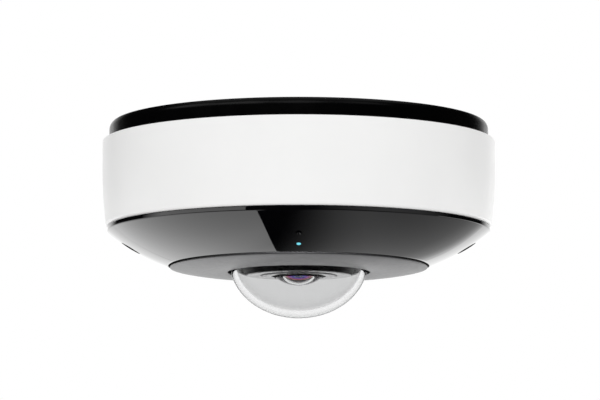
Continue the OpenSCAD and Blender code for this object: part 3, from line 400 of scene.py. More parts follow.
def make_painted_reflection_lens(name, rings):
    """A dark lens with its coating's reflections painted on: its tint goes through (radius in
    millimetres, colour) rings.
    """
    material = finish(name, rings[0][1], 0.05, ior=1.6, specular_ior_level=0.03)
    edge = rings[-1][0]
    tree = material.node_tree
    place = tree.nodes.new("ShaderNodeTexCoord")
    flat = tree.nodes.new("ShaderNodeVectorMath")
    flat.operation = "MULTIPLY"
    flat.inputs[1].default_value = (1, 1, 0)
    away = tree.nodes.new("ShaderNodeVectorMath")
    away.operation = "LENGTH"
    share = tree.nodes.new("ShaderNodeMapRange")
    share.inputs["From Max"].default_value = edge * MM
    tone = tree.nodes.new("ShaderNodeValToRGB")
    marks = tone.color_ramp.elements
    for i, (radius, colour) in enumerate(rings):
        mark = marks[i] if i < 2 else marks.new(radius / edge)
        mark.position = radius / edge
        mark.color = (*colour, 1)
    tree.links.new(place.outputs["Object"], flat.inputs[0])
    tree.links.new(flat.outputs["Vector"], away.inputs[0])
    tree.links.new(away.outputs["Value"], share.inputs["Value"])
    tree.links.new(share.outputs["Result"], tone.inputs["Fac"])
    tree.links.new(tone.outputs["Color"], tree.nodes["Principled BSDF"].inputs["Base Color"])
    return material


# Painted reflection: blue, purple and orange rings stand in for the lamps mirrored in the coating.
painted_reflection_lens = make_painted_reflection_lens("painted reflection lens", [
    (0.0, (0.004, 0.004, 0.02)), (1.2, (0.01, 0.015, 0.15)), (2.0, (0.07, 0.1, 0.8)),
    (3.2, (0.35, 0.07, 0.8)), (4.1, (0.7, 0.06, 0.4)), (4.9, (0.95, 0.25, 0.25)),
    (5.4, (1.0, 0.65, 0.45)), (5.72, (0.03, 0.02, 0.03))])


# White ring and rubber rim

def make_side_ring():
    """The white ring: a bowed side, rounded edges and a flange at the foot."""
    out, inner, flange_in, flange_wall = reach("side_ring"), 72.4, 69.5, 2.5
    top_edge, foot_edge, taper = 0.4, 1.4, 1.3
    bow, bow_top, lean = 177.0, RING_TOP + 10.0, 7.02
    foot_middle = out - taper - foot_edge * math.cos(math.radians(lean))
    outline = arc((out - top_edge, RING_TOP + top_edge), top_edge, -90, 0, 4)
    outline += arc((out - bow, bow_top), bow, 0, lean, 18)
    outline += arc((foot_middle, RING_FOOT - foot_edge), foot_edge, lean, 90, 8)
    outline += [(flange_in, RING_FOOT), (flange_in, RING_FOOT - flange_wall),
                (inner, RING_FOOT - flange_wall), (inner, RING_TOP)]
    return smooth(spun("ring_shell", outline))


def make_rim():
    """The ceiling gasket: its outer edge is rounded taller than wide, and it holds the plate."""
    out, inner, skirt_in, plate_r = reach("ceiling_gasket"), 62.0, 69.3, reach("mount_plate")
    wide, tall, foot_edge, steps = 2.2, 2.8, 0.5, 10
    groove_top, groove_foot, ledge = 0.7, 2.3, 3.4
    outline = [(inner, RIM_TOP)]
    for i in range(steps + 1):
        angle = math.radians(90 * i / steps)
        outline.append((out - wide + wide * math.sin(angle),
                        RIM_TOP + tall - tall * math.cos(angle)))
    outline += arc((out - foot_edge, RIM_FOOT - foot_edge), foot_edge, 0, 90, 6)
    outline += [(skirt_in, RIM_FOOT), (skirt_in, ledge), (inner, ledge), (inner, groove_foot),
                (plate_r, groove_foot), (plate_r, groove_top), (inner, groove_top)]
    return smooth(spun("rim_gasket", outline))


ring_shell = fit_out(make_side_ring(), "camera", white_moulding, "ring_white", "side_ring")
rim_gasket = fit_out(make_rim(), "mount", rim_rubber, "rim_rubber", "ceiling_gasket")


# Smoked window ring

LIP = 1.7
SHOULDER = RING_FOOT + 2.1
WINDOW_END_R, WINDOW_IN_R = 49.85, 47.0
WINDOW_WALL = 2.4
WALL_OUT_R, WALL_IN_R = 69.2, 66.9

CROWN_FROM = Vector((WINDOW_R, RING_FOOT + LIP))
CROWN_TO = Vector((WINDOW_END_R, WINDOW_FOOT))
CROWN_RISE = 1.2
crown_chord = (CROWN_TO - CROWN_FROM).length
crown_radius = (crown_chord ** 2 / 4 + CROWN_RISE ** 2) / (2 * CROWN_RISE)
crown_out = Vector((CROWN_TO.y - CROWN_FROM.y, CROWN_FROM.x - CROWN_TO.x)) / crown_chord
crown_middle = (CROWN_FROM + CROWN_TO) / 2 - crown_out * (crown_radius - CROWN_RISE)

SCREW_HEAD_R, SCREW_HEAD = 2.7, 2.2
COVER_SCREW_R = reach("cover_screws") - SCREW_HEAD_R
COVER_SEAT = SCREW_FOOT - SCREW_HEAD
MIC_R = forward("microphone")
MIC_HOLE, MIC_MOUTH, MIC_MOUTH_DEPTH = 0.75, 1.12, 2.0
LIGHT_OUT, LIGHT_HOLE = 0.25, 0.86
LIGHT_R = forward("status_light") + LIGHT_OUT


def crown_angle(inset, radius):
    """Angle on the crown's arc, taken in by a distance, at a radius from the axis."""
    return math.degrees(math.acos((radius - crown_middle.x) / (crown_radius - inset)))


def crown_line(inset, start, end, steps):
    """Points of the crown's arc, taken in by a distance, between two radii."""
    return arc(crown_middle, crown_radius - inset, crown_angle(inset, start),
               crown_angle(inset, end), steps)


def crown_drop(radius):
    """The drop of the crown's face at a radius from the axis."""
    return crown_middle.y + math.sqrt(crown_radius ** 2 - (radius - crown_middle.x) ** 2)


def crown_core(out, inset, steps):
    """A filler of all that is inside the window's crown, taken in by a distance."""
    outline = [(0, WINDOW_TOP), (out, WINDOW_TOP), (out, SHOULDER)]
    outline += crown_line(inset, out, WINDOW_END_R, steps) + [(0, WINDOW_FOOT - inset)]
    return spun("crown core", outline)


def make_window():
    """The smoked ring: a lip, a crowned face and two pillars, with the holes in its face."""
    lip_edge, turn, crown_gap = 0.35, 0.45, 0.5
    pillar_r, pillar_reach, pillar_inset = 4.6, 68.4, 1.2
    recess_r, recess_in, recess_forward, shank_hole = 3.5, 0.5, 0.6, 1.5
    above, below = WINDOW_TOP - OVERRUN, WINDOW_FOOT + OVERRUN
    lip = [(WALL_OUT_R, RING_FOOT), (WINDOW_R, RING_FOOT), (WINDOW_R, RING_FOOT + LIP),
           (WINDOW_R - turn, SHOULDER)]
    outline = [(WALL_OUT_R, WINDOW_TOP), lip[0]]
    outline += rounded(*lip[:3], lip_edge) + rounded(*lip[1:], lip_edge)
    outline += crown_line(0, WINDOW_R - crown_gap, WINDOW_END_R, 26)
    outline += [(WINDOW_IN_R, WINDOW_FOOT)]
    outline += crown_line(WINDOW_WALL, WINDOW_IN_R, WALL_IN_R, 20)
    outline += [(WALL_IN_R, WINDOW_TOP)]
    shell = spun("window_ring", outline)
    for side in (-1, 1):
        spot = (side * COVER_SCREW_R, 0)
        mouth = (side * (COVER_SCREW_R - recess_in), -recess_forward)
        pillar = rod(pillar_r, WINDOW_TOP, below, spot)
        combine(pillar, crown_core(pillar_reach, pillar_inset, 16), "INTERSECT")
        combine(shell, pillar, "UNION")
        combine(shell, rod(recess_r, COVER_SEAT, below, mouth, 96), "DIFFERENCE")
        combine(shell, rod(shank_hole, above, COVER_SEAT + OVERRUN, spot, 32), "DIFFERENCE")
    step = crown_drop(MIC_R) - MIC_MOUTH_DEPTH
    sound_hole = [(0, WINDOW_TOP), (MIC_HOLE, WINDOW_TOP), (MIC_HOLE, step), (MIC_MOUTH, step),
                  (MIC_MOUTH, below), (0, below)]
    combine(shell, spun("microphone hole", sound_hole, 48, about=(0, -MIC_R)), "DIFFERENCE")
    combine(shell, rod(LIGHT_HOLE, WINDOW_TOP, below, (0, -LIGHT_R), 48), "DIFFERENCE")
    return smooth(shell, 24)


window_ring = fit_out(make_window(), "camera", smoked_gloss, "window_black", "front_window")


def make_light_guide():
    """The status light's peg, with a collar behind, cut off along the crown."""
    top, collar, gap, sunk = drops("status_light")[0], 0.8, 0.05, 0.02
    face, collar_r = LIGHT_HOLE - gap, reach("status_light")
    outline = [(0, top), (face, top), (face, top + collar), (collar_r, top + collar),
               (collar_r, top + 2 * collar), (face, top + 2 * collar), (face, WINDOW_FOOT),
               (0, WINDOW_FOOT)]
    guide = spun("light_guide", outline, 48, about=(0, -LIGHT_R))
    combine(guide, crown_core(WALL_OUT_R, sunk, 22), "INTERSECT")
    return smooth(guide, 24)


fit_out(make_light_guide(), "camera", cyan_light, "light_cyan", "status_light")


def make_cover_screw(name, side):
    """A pan head with a six-lobed socket, and its shank."""
    shank, edge, chamfer = 1.4, 1.15, 0.1
    socket_r, lobe_r, lobe_out, lobes, socket_depth = 1.05, 0.34, 1.0, 6, 1.4
    spot, socket_top = side * COVER_SCREW_R, SCREW_FOOT - socket_depth
    outline = [(0, SCREW_FOOT)]
    outline += arc((SCREW_HEAD_R - edge, SCREW_FOOT - edge), edge, 90, 10, 8)
    outline += [(SCREW_HEAD_R, COVER_SEAT + chamfer), (SCREW_HEAD_R - chamfer, COVER_SEAT),
                (shank, COVER_SEAT), (shank, SCREW_TOP), (0, SCREW_TOP)]
    screw = spun(name, outline, 64, about=(spot, 0))
    combine(screw, rod(socket_r, socket_top, SCREW_FOOT + OVERRUN, (spot, 0), 32), "DIFFERENCE")
    for i in range(lobes):
        angle = math.tau * i / lobes
        lobe = (spot + lobe_out * math.cos(angle), lobe_out * math.sin(angle))
        combine(screw, rod(lobe_r, socket_top, SCREW_FOOT + OVERRUN, lobe, 16), "DIFFERENCE")
    return smooth(screw, 30)


for side, word in ((-1, "left"), (1, "right")):
    fit_out(make_cover_screw("cover_screw_" + word, side), "camera", black_screw, "screw_black",
            "cover_screws")


# Bezel, dome and liner

BEZEL_IN_R, BEZEL_CUT_R = 27.13, 48.6
BEZEL_EDGE = WINDOW_FOOT + 0.8
BEZEL_CROWN = 0.8
DOME_R = 26.45
DOME_RIM = FLANGE_TOP + 2.3
DOME_LIFT = 0.5
NECK_R, PLATE_R, PLATE_HOLE = 22.9, 20.24, 14.7


def make_bezel():
    """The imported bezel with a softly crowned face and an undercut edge."""
    span, fall, steps = BEZEL_R - BEZEL_IN_R, BEZEL_LIP - BEZEL_EDGE, 24
    edge, lip_wall, back_r, back_wall, face_wall, bead = 0.3, 1.2, 46.0, 2.2, 0.7, 0.1
    cut_top, cut_in, cut_out, past = 0.8, 0.05, 0.42, 0.32
    outline = arc((BEZEL_R - edge, BEZEL_EDGE - edge), edge, 0, 90, 4)
    for i in range(1, steps):
        t = i / steps
        outline.append((BEZEL_R - span * t, BEZEL_EDGE + fall * t + 4 * BEZEL_CROWN * t * (1 - t)))
    outline += arc((BEZEL_IN_R + edge, BEZEL_LIP - edge), edge, 90, 180, 4)
    outline += [(BEZEL_IN_R, BEZEL_LIP - lip_wall), (back_r, BEZEL_LIP - back_wall),
                (BEZEL_CUT_R, BEZEL_EDGE - face_wall), (BEZEL_CUT_R + bead, BEZEL_EDGE - face_wall)]
    groove = [(BEZEL_R + past, WINDOW_FOOT - cut_top), (BEZEL_CUT_R, WINDOW_FOOT - cut_top),
              (BEZEL_CUT_R, WINDOW_FOOT + cut_in), (BEZEL_R, WINDOW_FOOT + cut_out),
              (BEZEL_R + past, WINDOW_FOOT + cut_out)]
    bezel = from_node("bezel_plate", "dome_bezel")
    combine(bezel, spun("bezel face", outline), "UNION")
    combine(bezel, spun("bezel groove", groove), "DIFFERENCE")
    return smooth(bezel, 24)


def make_shade_ring(name, inner, outer, top, foot):
    """A thin black ring that paints the shade of a gap."""
    chamfer = 0.02
    corners = [(inner, top), (outer, top), (outer, foot), (inner, foot)]
    outline = []
    for i, corner in enumerate(corners):
        outline += rounded(corners[i - 1], corner, corners[(i + 1) % len(corners)], chamfer, 1)
    return smooth(spun(name, outline))


def make_dome():
    """The clear dome on its flange, with a wall a little thicker at the foot."""
    side_wall, foot_wall, flange_r = 2.2, 2.6, reach("dome")
    depth = DOME_FOOT - DOME_LIFT - DOME_RIM
    outline = bowl(DOME_R, depth, DOME_RIM, 64)
    outline += [(flange_r, DOME_RIM), (flange_r, FLANGE_TOP), (DOME_R - side_wall, FLANGE_TOP)]
    outline += bowl(DOME_R - side_wall, depth - foot_wall, DOME_RIM, 64)[::-1]
    return smooth(spun("clear_dome", outline), 40, even=False)


def make_liner_wall():
    """The matt wall that hangs inside the dome, down to the lens plate."""
    wall, flange_r = 1.5, reach("lens_liner")
    # The small bead round the plate, as (out from the plate's edge, up from its face)
    bead = [(0.12, 0.55), (-0.05, 0.3), (-0.2, 0.5)]
    outline = [(flange_r, LINER_TOP), (flange_r, LINER_TOP + wall), (NECK_R, LINER_TOP + wall),
               (NECK_R, DOME_RIM)]
    outline += [(PLATE_R + out, PLATE_LEVEL - up) for out, up in bead]
    outline += [(PLATE_R - wall, PLATE_LEVEL - wall), (NECK_R - wall, DOME_RIM),
                (NECK_R - wall, LINER_TOP)]
    return smooth(spun("liner_wall", outline), 30)


def make_lens_plate():
    """The flat plate round the lens, with a fine turned line near its edge."""
    gap, wall, edge, line, line_depth = 0.3, 1.3, 0.2, 19.4, 0.12
    out = PLATE_R - gap
    outline = [(out, PLATE_LEVEL - wall), (out, PLATE_LEVEL - edge), (out - edge, PLATE_LEVEL)]
    outline += turned_line(line, PLATE_LEVEL, line_depth)
    outline += [(PLATE_HOLE, PLATE_LEVEL), (PLATE_HOLE, PLATE_LEVEL - wall)]
    return smooth(spun("lens_plate", outline), 20)


def make_retainer():
    """The low ring that holds the lens, with a turned line and two spanner notches."""
    out, proud, line, line_depth = reach("lens_retainer"), 0.32, 12.9, 0.15
    edge, bore_edge, bore_edge_height = 0.2, 0.2, 0.25
    notch, notch_depth = (1.6, 1.2, 2.0), 0.3
    foot = PLATE_LEVEL + proud
    outline = [(GLASS_R, RETAINER_TOP), (GLASS_R, foot - bore_edge_height),
               (GLASS_R + bore_edge, foot)]
    outline += turned_line(line, foot, line_depth)[::-1]
    outline += [(out - edge, foot), (out, foot - edge), (out, RETAINER_TOP)]
    ring = spun("retaining_ring", outline)
    for side in (-1, 1):
        middle = (side * out, 0, -(foot - notch_depth + notch[2] / 2))
        combine(ring, bar(notch, middle), "DIFFERENCE")
    return smooth(ring, 20)


FRONT_BALL = 14.0


def make_lens_hood():
    """The black nose of the lens that grips the front glass just below the plate."""
    wall, gap, bore_gap = 0.3, 0.03, 0.05
    bore_top, bore_foot, outside, inside = -0.15, 0.2, (0.3, 0.78), (0.73, -0.1)
    ball_middle, bore_r = LENS_FOOT - FRONT_BALL, GLASS_R - bore_gap

    def along(radius, first, last, steps):
        """Points on a ball round the front glass's middle, between two depths below the plate."""
        points = []
        for i in range(steps + 1):
            drop = PLATE_LEVEL + first + (last - first) * i / steps
            points.append((math.sqrt(radius ** 2 - (drop - ball_middle) ** 2), drop))
        return points

    outline = [(bore_r, PLATE_LEVEL + bore_top), (bore_r, PLATE_LEVEL + bore_foot)]
    outline += along(FRONT_BALL + wall, *outside, 6) + along(FRONT_BALL + gap, *inside, 8)
    return smooth(spun("lens_hood", outline), 30)


def make_bezel_shade_ring():
    """The black ring in the gap between the window and the bezel, nearly level with both, which
    paints the gap's shade.
    """
    under_bezel, gap, sunk, proud = 0.3, 0.05, 0.06, 0.03
    return make_shade_ring("bezel_shade_ring", BEZEL_CUT_R - under_bezel, WINDOW_END_R - gap,
                     WINDOW_FOOT - sunk, WINDOW_FOOT + proud)


def make_dome_shade_ring():
    """The black ring in the gap between the bezel's lip and the dome, which paints the gap's shade.
    """
    dome_gap, bezel_gap, depth, sunk = 0.12, 0.03, 0.1, 0.15
    return make_shade_ring("dome_shade_ring", DOME_R + dome_gap, BEZEL_IN_R - bezel_gap,
                     WINDOW_FOOT + depth, BEZEL_LIP - sunk)


bezel_plate = fit_out(make_bezel(), "camera", grained_bezel, "bezel_grey", "dome_bezel")
# Two black rings paint the shade in the gaps on both sides of the bezel.
bezel_shade_ring = fit_out(make_bezel_shade_ring(), "camera", matt_black, "seal_rubber")
fit_out(make_dome_shade_ring(), "camera", matt_black, "seal_rubber")
fit_out(make_dome(), "camera", clear_dome, "dome_clear", "dome")
liner_wall = fit_out(make_liner_wall(), "camera", matt_black, "liner_grey", "lens_liner")
lens_plate = fit_out(make_lens_plate(), "camera", satin_liner, "liner_grey", "lens_liner")
retaining_ring = fit_out(make_retainer(), "camera", satin_liner, "lens_metal", "lens_retainer")
fit_out(make_lens_hood(), "camera", matt_black, "lens_metal", "lens_retainer")


# Glasses

def make_front_lens():
    """The domed front glass, hollow behind, with its seat and edge blacked."""
    wall, hollow_ball, near = 2.0, 7.0, 0.02 * MM
    hollow = LENS_FOOT - wall
    hollow_r = math.sqrt(hollow_ball ** 2 - (GLASS_SEAT - (hollow - hollow_ball)) ** 2)
    outline = cap(FRONT_BALL, LENS_FOOT, GLASS_R, 28) + [(GLASS_R, GLASS_SEAT)]
    outline += cap(hollow_ball, hollow, hollow_r, 28)[::-1]
    lens = spun("front_lens", outline)
    lens.data.materials.append(front_clear)
    lens.data.materials.append(matt_black)
    for face in lens.data.polygons:
        middle = face.center
        on_seat = abs(middle.z + GLASS_SEAT * MM) < near
        on_edge = abs(math.hypot(middle.x, middle.y) - GLASS_R * MM) < near
        face.material_index = 1 if on_seat or on_edge else 0
    return smooth(lens, 30, even=False)


def make_second_lens():
    """The glass behind the front one, its face a shallow bowl, on which its coating's reflections
    are painted.
    """
    rim, depth, below_seat, edge, edge_up = 5.6, 0.65, 0.82, 0.12, 0.1
    seat, rim_foot = drops("second_glass")[0], GLASS_SEAT + below_seat
    ball = (rim ** 2 + depth ** 2) / (2 * depth)
    outline = cap(-ball, rim_foot - depth, rim, 24)
    outline += [(rim + edge, rim_foot - edge_up), (rim + edge, seat), (0, seat)]
    return smooth(spun("second_lens", outline), 30, even=False)


front_lens = make_front_lens()
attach(front_lens, "camera")
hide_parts("front_glass")
# Its colour rings are a painted reflection of the coating.
fit_out(make_second_lens(), "camera", painted_reflection_lens, "coated_glass", "second_glass")


# What hangs the camera

fit_out(from_node("base_plate", "mount_plate", 0.2), "mount", plate_moulding, "plate_black",
        "mount_plate")
fit_out(from_node("housing_shell", "rear_housing", 0.15), "camera", black_moulding,
        "house_black", "rear_housing")
fit_out(from_node("jack_shell", "network_jack", 0.15), "camera", tin, "jack_metal",
        "network_jack")


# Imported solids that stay

KEPT = {
    "window_seal": seal_rubber, "dome_seal": seal_rubber, "dome_clamp": black_moulding,
    "clamp_screws": zinc, "lens_barrel": black_anodised, "third_glass": lens_clear,
    "lens_spacer": black_anodised, "rear_glass": lens_clear, "lens_holder": black_moulding,
    "filter_glass": lens_coated, "image_sensor": chip_epoxy, "sensor_board": solder_mask,
    "sensor_posts": brass, "board_connector": cream_moulding, "main_board": solder_mask,
    "board_screws": zinc, "processor": chip_epoxy, "memory_chips": chip_epoxy,
    "heat_pad": pad_silicone, "heat_spreader": aluminium, "jack_contacts": gold,
    "infrared_board": solder_mask, "infrared_lamps": cream_moulding,
    "infrared_baffle": black_moulding, "long_posts": brass, "ribbon_cable": amber_film,
    "microphone": cream_moulding, "microphone_boot": seal_rubber,
    "status_lamp": cream_moulding, "reset_switch": black_moulding,
    "switch_plunger": cream_moulding, "reset_button": button_moulding,
}
for node, material in KEPT.items():
    nodes[node].data.materials.clear()
    nodes[node].data.materials.append(material)


# Studio

def ranged(tree, source, low, high, start=0.0, end=1.0, kind="SMOOTHSTEP"):
    """A value that goes from start to end while its source goes from low to high."""
    node = tree.nodes.new("ShaderNodeMapRange")
    node.interpolation_type = kind
    node.inputs["From Min"].default_value = low
    node.inputs["From Max"].default_value = high
    node.inputs["To Min"].default_value = start
    node.inputs["To Max"].default_value = end
    tree.links.new(source, node.inputs["Value"])
    return node.outputs["Result"]


def worked(tree, operation, first, second):
    """The outcome of one piece of arithmetic on two values, each a number or a socket."""
    node = tree.nodes.new("ShaderNodeMath")
    node.operation = operation
    for socket, value in zip(node.inputs, (first, second)):
        if isinstance(value, (int, float)):
            socket.default_value = value
        else:
            tree.links.new(value, socket)
    return node.outputs["Value"]


def blended(tree, share, first, second):
    """The first value where share is 0 and the second where it is 1."""
    kept = worked(tree, "MULTIPLY", worked(tree, "SUBTRACT", 1.0, share), first)
    return worked(tree, "ADD", kept, worked(tree, "MULTIPLY", share, second))


def levels(tree, source, low, high, steps):
    """A strength that follows its source through (place, strength) pairs."""
    ramp = tree.nodes.new("ShaderNodeValToRGB")
    marks = ramp.color_ramp.elements
    for i, (spot, level) in enumerate(steps):
        share = (spot - low) / (high - low)
        mark = marks[i] if i < 2 else marks.new(share)
        mark.position = share
        mark.color = (level, level, level, 1)
    tree.links.new(ranged(tree, source, low, high, kind="LINEAR"), ramp.inputs["Fac"])
    return ramp.outputs["Color"]


def after_mirror(tree, rays):
    """1 for a ray that a glossy surface has sent on, and 0 for any other."""
    return ranged(tree, rays.outputs["Glossy Depth"], 0.4, 0.6, kind="LINEAR")


def make_floor():
    """A pale floor that is seen and shadowed, and that mirrors look through."""
    width, level, grey = 14, -2.7, 0.86
    deselect()
    bpy.ops.mesh.primitive_plane_add(size=width, location=(0, 0, level))
    floor = named(bpy.context.object, "floor")
    paint = bpy.data.materials.new("pale floor")
    paint.use_nodes = True
    tree = paint.node_tree
    matt = tree.nodes["Principled BSDF"]
    matt.inputs["Base Color"].default_value = (grey, grey, grey, 1)
    matt.inputs["Roughness"].default_value = 0.8
    clear = tree.nodes.new("ShaderNodeBsdfTransparent")
    either = tree.nodes.new("ShaderNodeMixShader")
    rays = tree.nodes.new("ShaderNodeLightPath")
    tree.links.new(after_mirror(tree, rays), either.inputs[0])
    tree.links.new(matt.outputs["BSDF"], either.inputs[1])
    tree.links.new(clear.outputs["BSDF"], either.inputs[2])
    tree.links.new(either.outputs["Shader"], tree.nodes["Material Output"].inputs["Surface"])
    floor.data.materials.append(paint)


# Strength of the room as it lights the object, from left to right
ROOM_LIGHT = [(-1.0, 0.77), (-0.5, 0.87), (0.0, 0.9), (0.5, 0.86), (1.0, 0.8)]
# Strength of the room as surfaces mirror it: behind the object by height, in front and above
ROOM_BACK = [(-1.0, 0.8), (-0.5, 1.1), (-0.35, 1.2), (-0.06, 1.2), (0.25, 1.2), (0.4, 0.05)]
ROOM_FRONT = 0.01
ROOM_ABOVE = 0.9
# Where the white behind the object begins by depth, under the horizon and over it
LOW_EDGE, HIGH_EDGE = (-0.15, 0.35), (0.76, 0.92)
# The heights that the horizon and the pale room above are blended over
HORIZON, OVERHEAD = (0.0, 0.05), (0.7, 0.95)


def make_world():
    """A pale room: white behind the object, dark in front of it where it is mirrored."""
    world = bpy.data.worlds.new("room")
    bpy.context.scene.world = world
    world.use_nodes = True
    tree = world.node_tree
    backdrop = tree.nodes["Background"]
    rays = tree.nodes.new("ShaderNodeLightPath")
    way = tree.nodes.new("ShaderNodeTexCoord")
    axes = tree.nodes.new("ShaderNodeSeparateXYZ")
    tree.links.new(way.outputs["Generated"], axes.inputs["Vector"])
    depth, height = axes.outputs["Y"], axes.outputs["Z"]
    under = worked(tree, "MULTIPLY", ranged(tree, depth, *LOW_EDGE),
                   ranged(tree, height, *HORIZON, 1.0, 0.0))
    over = worked(tree, "MULTIPLY", ranged(tree, depth, *HIGH_EDGE),
                  ranged(tree, height, *HORIZON))
    behind = worked(tree, "MULTIPLY", worked(tree, "ADD", under, over),
                    levels(tree, height, -1.0, 1.0, ROOM_BACK))
    above = ranged(tree, height, *OVERHEAD, ROOM_FRONT, ROOM_ABOVE)
    mirrored = worked(tree, "MAXIMUM", behind, above)
    seen = worked(tree, "MAXIMUM", rays.outputs["Is Camera Ray"],
                  rays.outputs["Is Transmission Ray"])
    lighting = levels(tree, axes.outputs["X"], -1.0, 1.0, ROOM_LIGHT)
    plain = blended(tree, seen, lighting, 1.0)
    shown = blended(tree, after_mirror(tree, rays), plain, mirrored)
    strength = blended(tree, rays.outputs["Is Diffuse Ray"], shown, lighting)
    backdrop.inputs["Color"].default_value = (1, 1, 1, 1)
    tree.links.new(strength, backdrop.inputs["Strength"])


def hide_from(light, *rays):
    """Keeps a lamp or a card out of the way of some kinds of ray."""
    for kind in rays:
        setattr(light, "visible_" + kind, False)


def light_only(light, *pieces):
    """Keeps a lamp's or a card's light to the pieces named."""
    group = bpy.data.collections.new("lit by " + light.name)
    for piece in pieces:
        group.objects.link(piece)
    light.light_linking.receiver_collection = group


LAMP_AIM = (0, 0, -0.03)


def hang_lamp(name, spot, size, watts, hidden, *pieces):
    """A round lamp aimed at the camera, hidden from some rays and kept to the pieces named."""
    lamp = bpy.data.lights.new(name, "AREA")
    lamp.shape = "DISK"
    lamp.size = size
    lamp.energy = watts
    stand = bpy.data.objects.new(name, lamp)
    stand.location = spot
    stand.rotation_mode = "QUATERNION"
    stand.rotation_quaternion = (Vector(LAMP_AIM) - Vector(spot)).to_track_quat("-Z", "Y")
    bpy.context.scene.collection.objects.link(stand)
    if pieces:
        light_only(stand, *pieces)
    hide_from(stand, *hidden)


CARD_SLANT = 0.08


def glow(name, way="MULTIPLY", **ramps):
    """A light card's face, its strength set by one or two ramps of (place, strength) pairs.

    The ramps run across the card, back over it, up it, or by the turn round the object in
    degrees from straight behind.
    """
    paint = bpy.data.materials.new(name)
    paint.use_nodes = True
    tree = paint.node_tree
    tree.nodes.clear()
    out = tree.nodes.new("ShaderNodeOutputMaterial")
    light = tree.nodes.new("ShaderNodeEmission")
    place = tree.nodes.new("ShaderNodeTexCoord")
    axes = tree.nodes.new("ShaderNodeSeparateXYZ")
    tree.links.new(place.outputs["Object"], axes.inputs["Vector"])
    side, back, up = axes.outputs
    slant = worked(tree, "MULTIPLY", back, CARD_SLANT)
    turn = worked(tree, "ARCTAN2", side, back)
    sources = {"across": worked(tree, "ADD", side, slant), "back": back, "up": up,
               "turn": worked(tree, "MULTIPLY", turn, math.degrees(1))}
    strength, *others = [levels(tree, sources[source], steps[0][0], steps[-1][0], steps)
                         for source, steps in ramps.items()]
    for other in others:
        strength = worked(tree, way, strength, other)
    tree.links.new(strength, light.inputs["Strength"])
    tree.links.new(light.outputs["Emission"], out.inputs["Surface"])
    paint.cycles.emission_sampling = "NONE"
    return paint


def hang_card(card, paint, *mirrors):
    """Makes a card that only the pieces named mirror."""
    card.data.materials.append(paint)
    hide_from(card, "camera", "diffuse", "transmission", "shadow", "volume_scatter")
    light_only(card, *mirrors)


def flat_card(name, outline, level):
    """A flat card from an outline of points in metres."""
    card = drawn(name, [(*point, level) for point in outline])
    bpy.ops.mesh.edge_face_add()
    bpy.ops.object.mode_set(mode="OBJECT")
    return card


def round_card(name, radius, start, end, low, high, steps):
    """An upright card bent round the object, between two angles from the front."""
    first = math.radians(start - 90)
    corner = (radius * math.cos(first), radius * math.sin(first))
    card = drawn(name, [(*corner, low), (*corner, high)])
    bpy.ops.mesh.spin(steps=steps, angle=math.radians(start - end), center=(0, 0, 0),
                      axis=(0, 0, 1))
    bpy.ops.object.mode_set(mode="OBJECT")
    return card


# The two flat cards below the object, the bright one just above the dim one
CARD_LEVEL, CARD_NEAR, CARD_REACH, CARD_GAP = -0.5, -0.4, 1.5, 0.001
DIM_FROM = -0.3
# The bright card's right border: a hyperbola, which the window's crown mirrors, and its two ends
BORDER_NEAR, BORDER_FAR = (-0.163, CARD_NEAR), (-0.003, CARD_REACH)
BORDER_START, BORDER_END = -0.0244, 0.75
BORDER_RIGHT, BORDER_FRONT, BORDER_BEND = 0.0172, -0.373, 0.045


def card_border(steps):
    """Points of the bright card's right border, from its near end to its far end."""
    first, last = [BORDER_RIGHT - BORDER_BEND / (back - BORDER_FRONT)
                   for back in (BORDER_START, BORDER_END)]
    points = [BORDER_NEAR]
    for i in range(steps + 1):
        across = first + (last - first) * i / steps
        points.append((across, BORDER_FRONT + BORDER_BEND / (BORDER_RIGHT - across)))
    return points + [BORDER_FAR]


def make_bright_card(*mirrors):
    """The bright card below on the left, brightest to the side."""
    corners = [(-CARD_REACH, CARD_REACH), (-CARD_REACH, CARD_NEAR)]
    card = flat_card("bright_card", corners + card_border(16), CARD_LEVEL + CARD_GAP)
    paint = glow("bright card", turn=[
        (-90, 2.05), (-45, 2.05), (-32, 2.04), (-27, 1.98), (-23, 1.92), (-19.6, 1.83),
        (-17, 1.76), (-14.7, 1.66), (-11, 1.52), (0, 1.5)])
    hang_card(card, paint, *mirrors)


def make_dim_card(*mirrors):
    """The dim card below on the right, which brightens to the right and to the back."""
    corners = [(DIM_FROM, CARD_REACH), (DIM_FROM, CARD_NEAR), (CARD_REACH, CARD_NEAR),
               (CARD_REACH, CARD_REACH)]
    card = flat_card("dim_card", corners, CARD_LEVEL)
    paint = glow("dim card", "MAXIMUM", across=[
        (DIM_FROM, 0.0), (-0.03, 0.0), (-0.006, 0.04), (0.027, 0.155), (0.062, 0.33),
        (0.096, 0.51), (0.13, 0.63), (0.165, 0.7), (0.2, 0.69), (0.24, 0.64), (0.283, 0.6),
        (0.35, 0.56), (CARD_REACH, 0.56)], back=[
        (CARD_NEAR, 0.0), (0.45, 0.0), (0.6, 0.55), (0.85, 0.68), (1.0, 0.75), (1.28, 1.15),
        (1.32, 1.3), (CARD_REACH, 1.5)])
    hang_card(card, paint, *mirrors)


def make_back_card(*mirrors):
    """The pale card that stands round the back, from the cards below up to the ceiling."""
    card = round_card("back_card", 1.6, 90, 270, CARD_LEVEL, 0.0, 48)
    paint = glow("back card", up=[
        (CARD_LEVEL, 1.0), (-0.4, 1.0), (-0.23, 0.93), (0.0, 0.88)], turn=[
        (-90, 1.2), (-40, 1.9), (-14, 1.68), (-11, 1.6), (0, 1.6), (11, 1.8), (40, 1.84),
        (90, 1.84)])
    hang_card(card, paint, *mirrors)


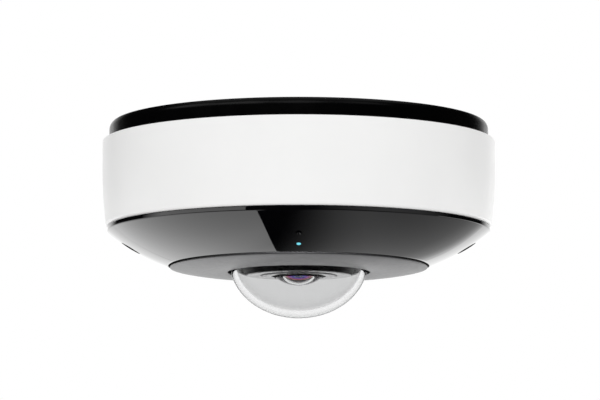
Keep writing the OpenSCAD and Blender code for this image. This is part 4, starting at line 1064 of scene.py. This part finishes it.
def make_side_cards():
    """The two upright cards in front, which give the window its soft lights at both sides."""
    left = [(-180, 2.0), (-92, 2.0), (-74, 0.0), (-60, 0.0)]
    right = [(78, 0.0), (90, 0.2), (105, 0.45), (120, 0.6), (135, 0.62), (155, 0.3), (172, 0.0)]
    for side, start, end, turns in (("left", -110, -31, left), ("right", 8, 102, right)):
        card = round_card(side + "_card", 2.0, start, end, -0.1, 1.2, 24)
        hang_card(card, glow(side + " card", turn=turns), window_ring)


def make_lamps():
    """Three lamps on the whole camera, four on the rubber rim and one on the painted shade ring in
    the bezel's seam.
    """
    hang_lamp("key", (-0.6, -1.7, 0.9), 0.9, 3.6, ["glossy"])
    hang_lamp("fill", (0.1, -1.4, -0.6), 0.8, 3.4, ["glossy", "transmission"])
    hang_lamp("edge", (1.0, 1.5, -0.1), 0.6, 12.0, ["glossy", "transmission"])
    rim_height, rim_size = 1.1, 1.15
    for word, across, back, watts in (("left", -1.75, -0.55, 8.0), ("front", -1.1, -1.45, 11.0),
                                      ("middle", 0.0, -1.8, 7.5), ("right", 1.2, -1.4, 4.0)):
        hang_lamp("rim_" + word, (across, back, rim_height), rim_size, watts,
                  ["diffuse", "transmission"], rim_gasket)
    hang_lamp("seam_front", (0.0, -0.075, -0.062), 0.006, 0.24, ["camera", "glossy"], bezel_shade_ring)


def set_view():
    """The view that the photograph has, shown with plain colours."""
    eye = bpy.data.cameras.new("view")
    eye.lens = LENS_MM
    eye.sensor_width = 36
    eye.sensor_fit = "HORIZONTAL"
    eye.shift_x, eye.shift_y = FRAME_SHIFT
    eye.clip_start = 0.05
    eye.clip_end = 60
    viewer = bpy.data.objects.new("view", eye)
    viewer.location = (0, -CAMERA_BACK, -CAMERA_DROP)
    viewer.rotation_euler = (math.radians(90 + CAMERA_PITCH), 0, 0)
    bpy.context.scene.collection.objects.link(viewer)
    bpy.context.scene.camera = viewer
    bpy.context.scene.view_settings.view_transform = "Standard"


make_floor()
make_world()
glossy_pieces = [window_ring, bezel_plate, lens_plate, liner_wall, retaining_ring]
make_bright_card(*glossy_pieces)
make_dim_card(*glossy_pieces)
make_back_card(ring_shell, *glossy_pieces)
make_side_cards()
make_lamps()
set_view()
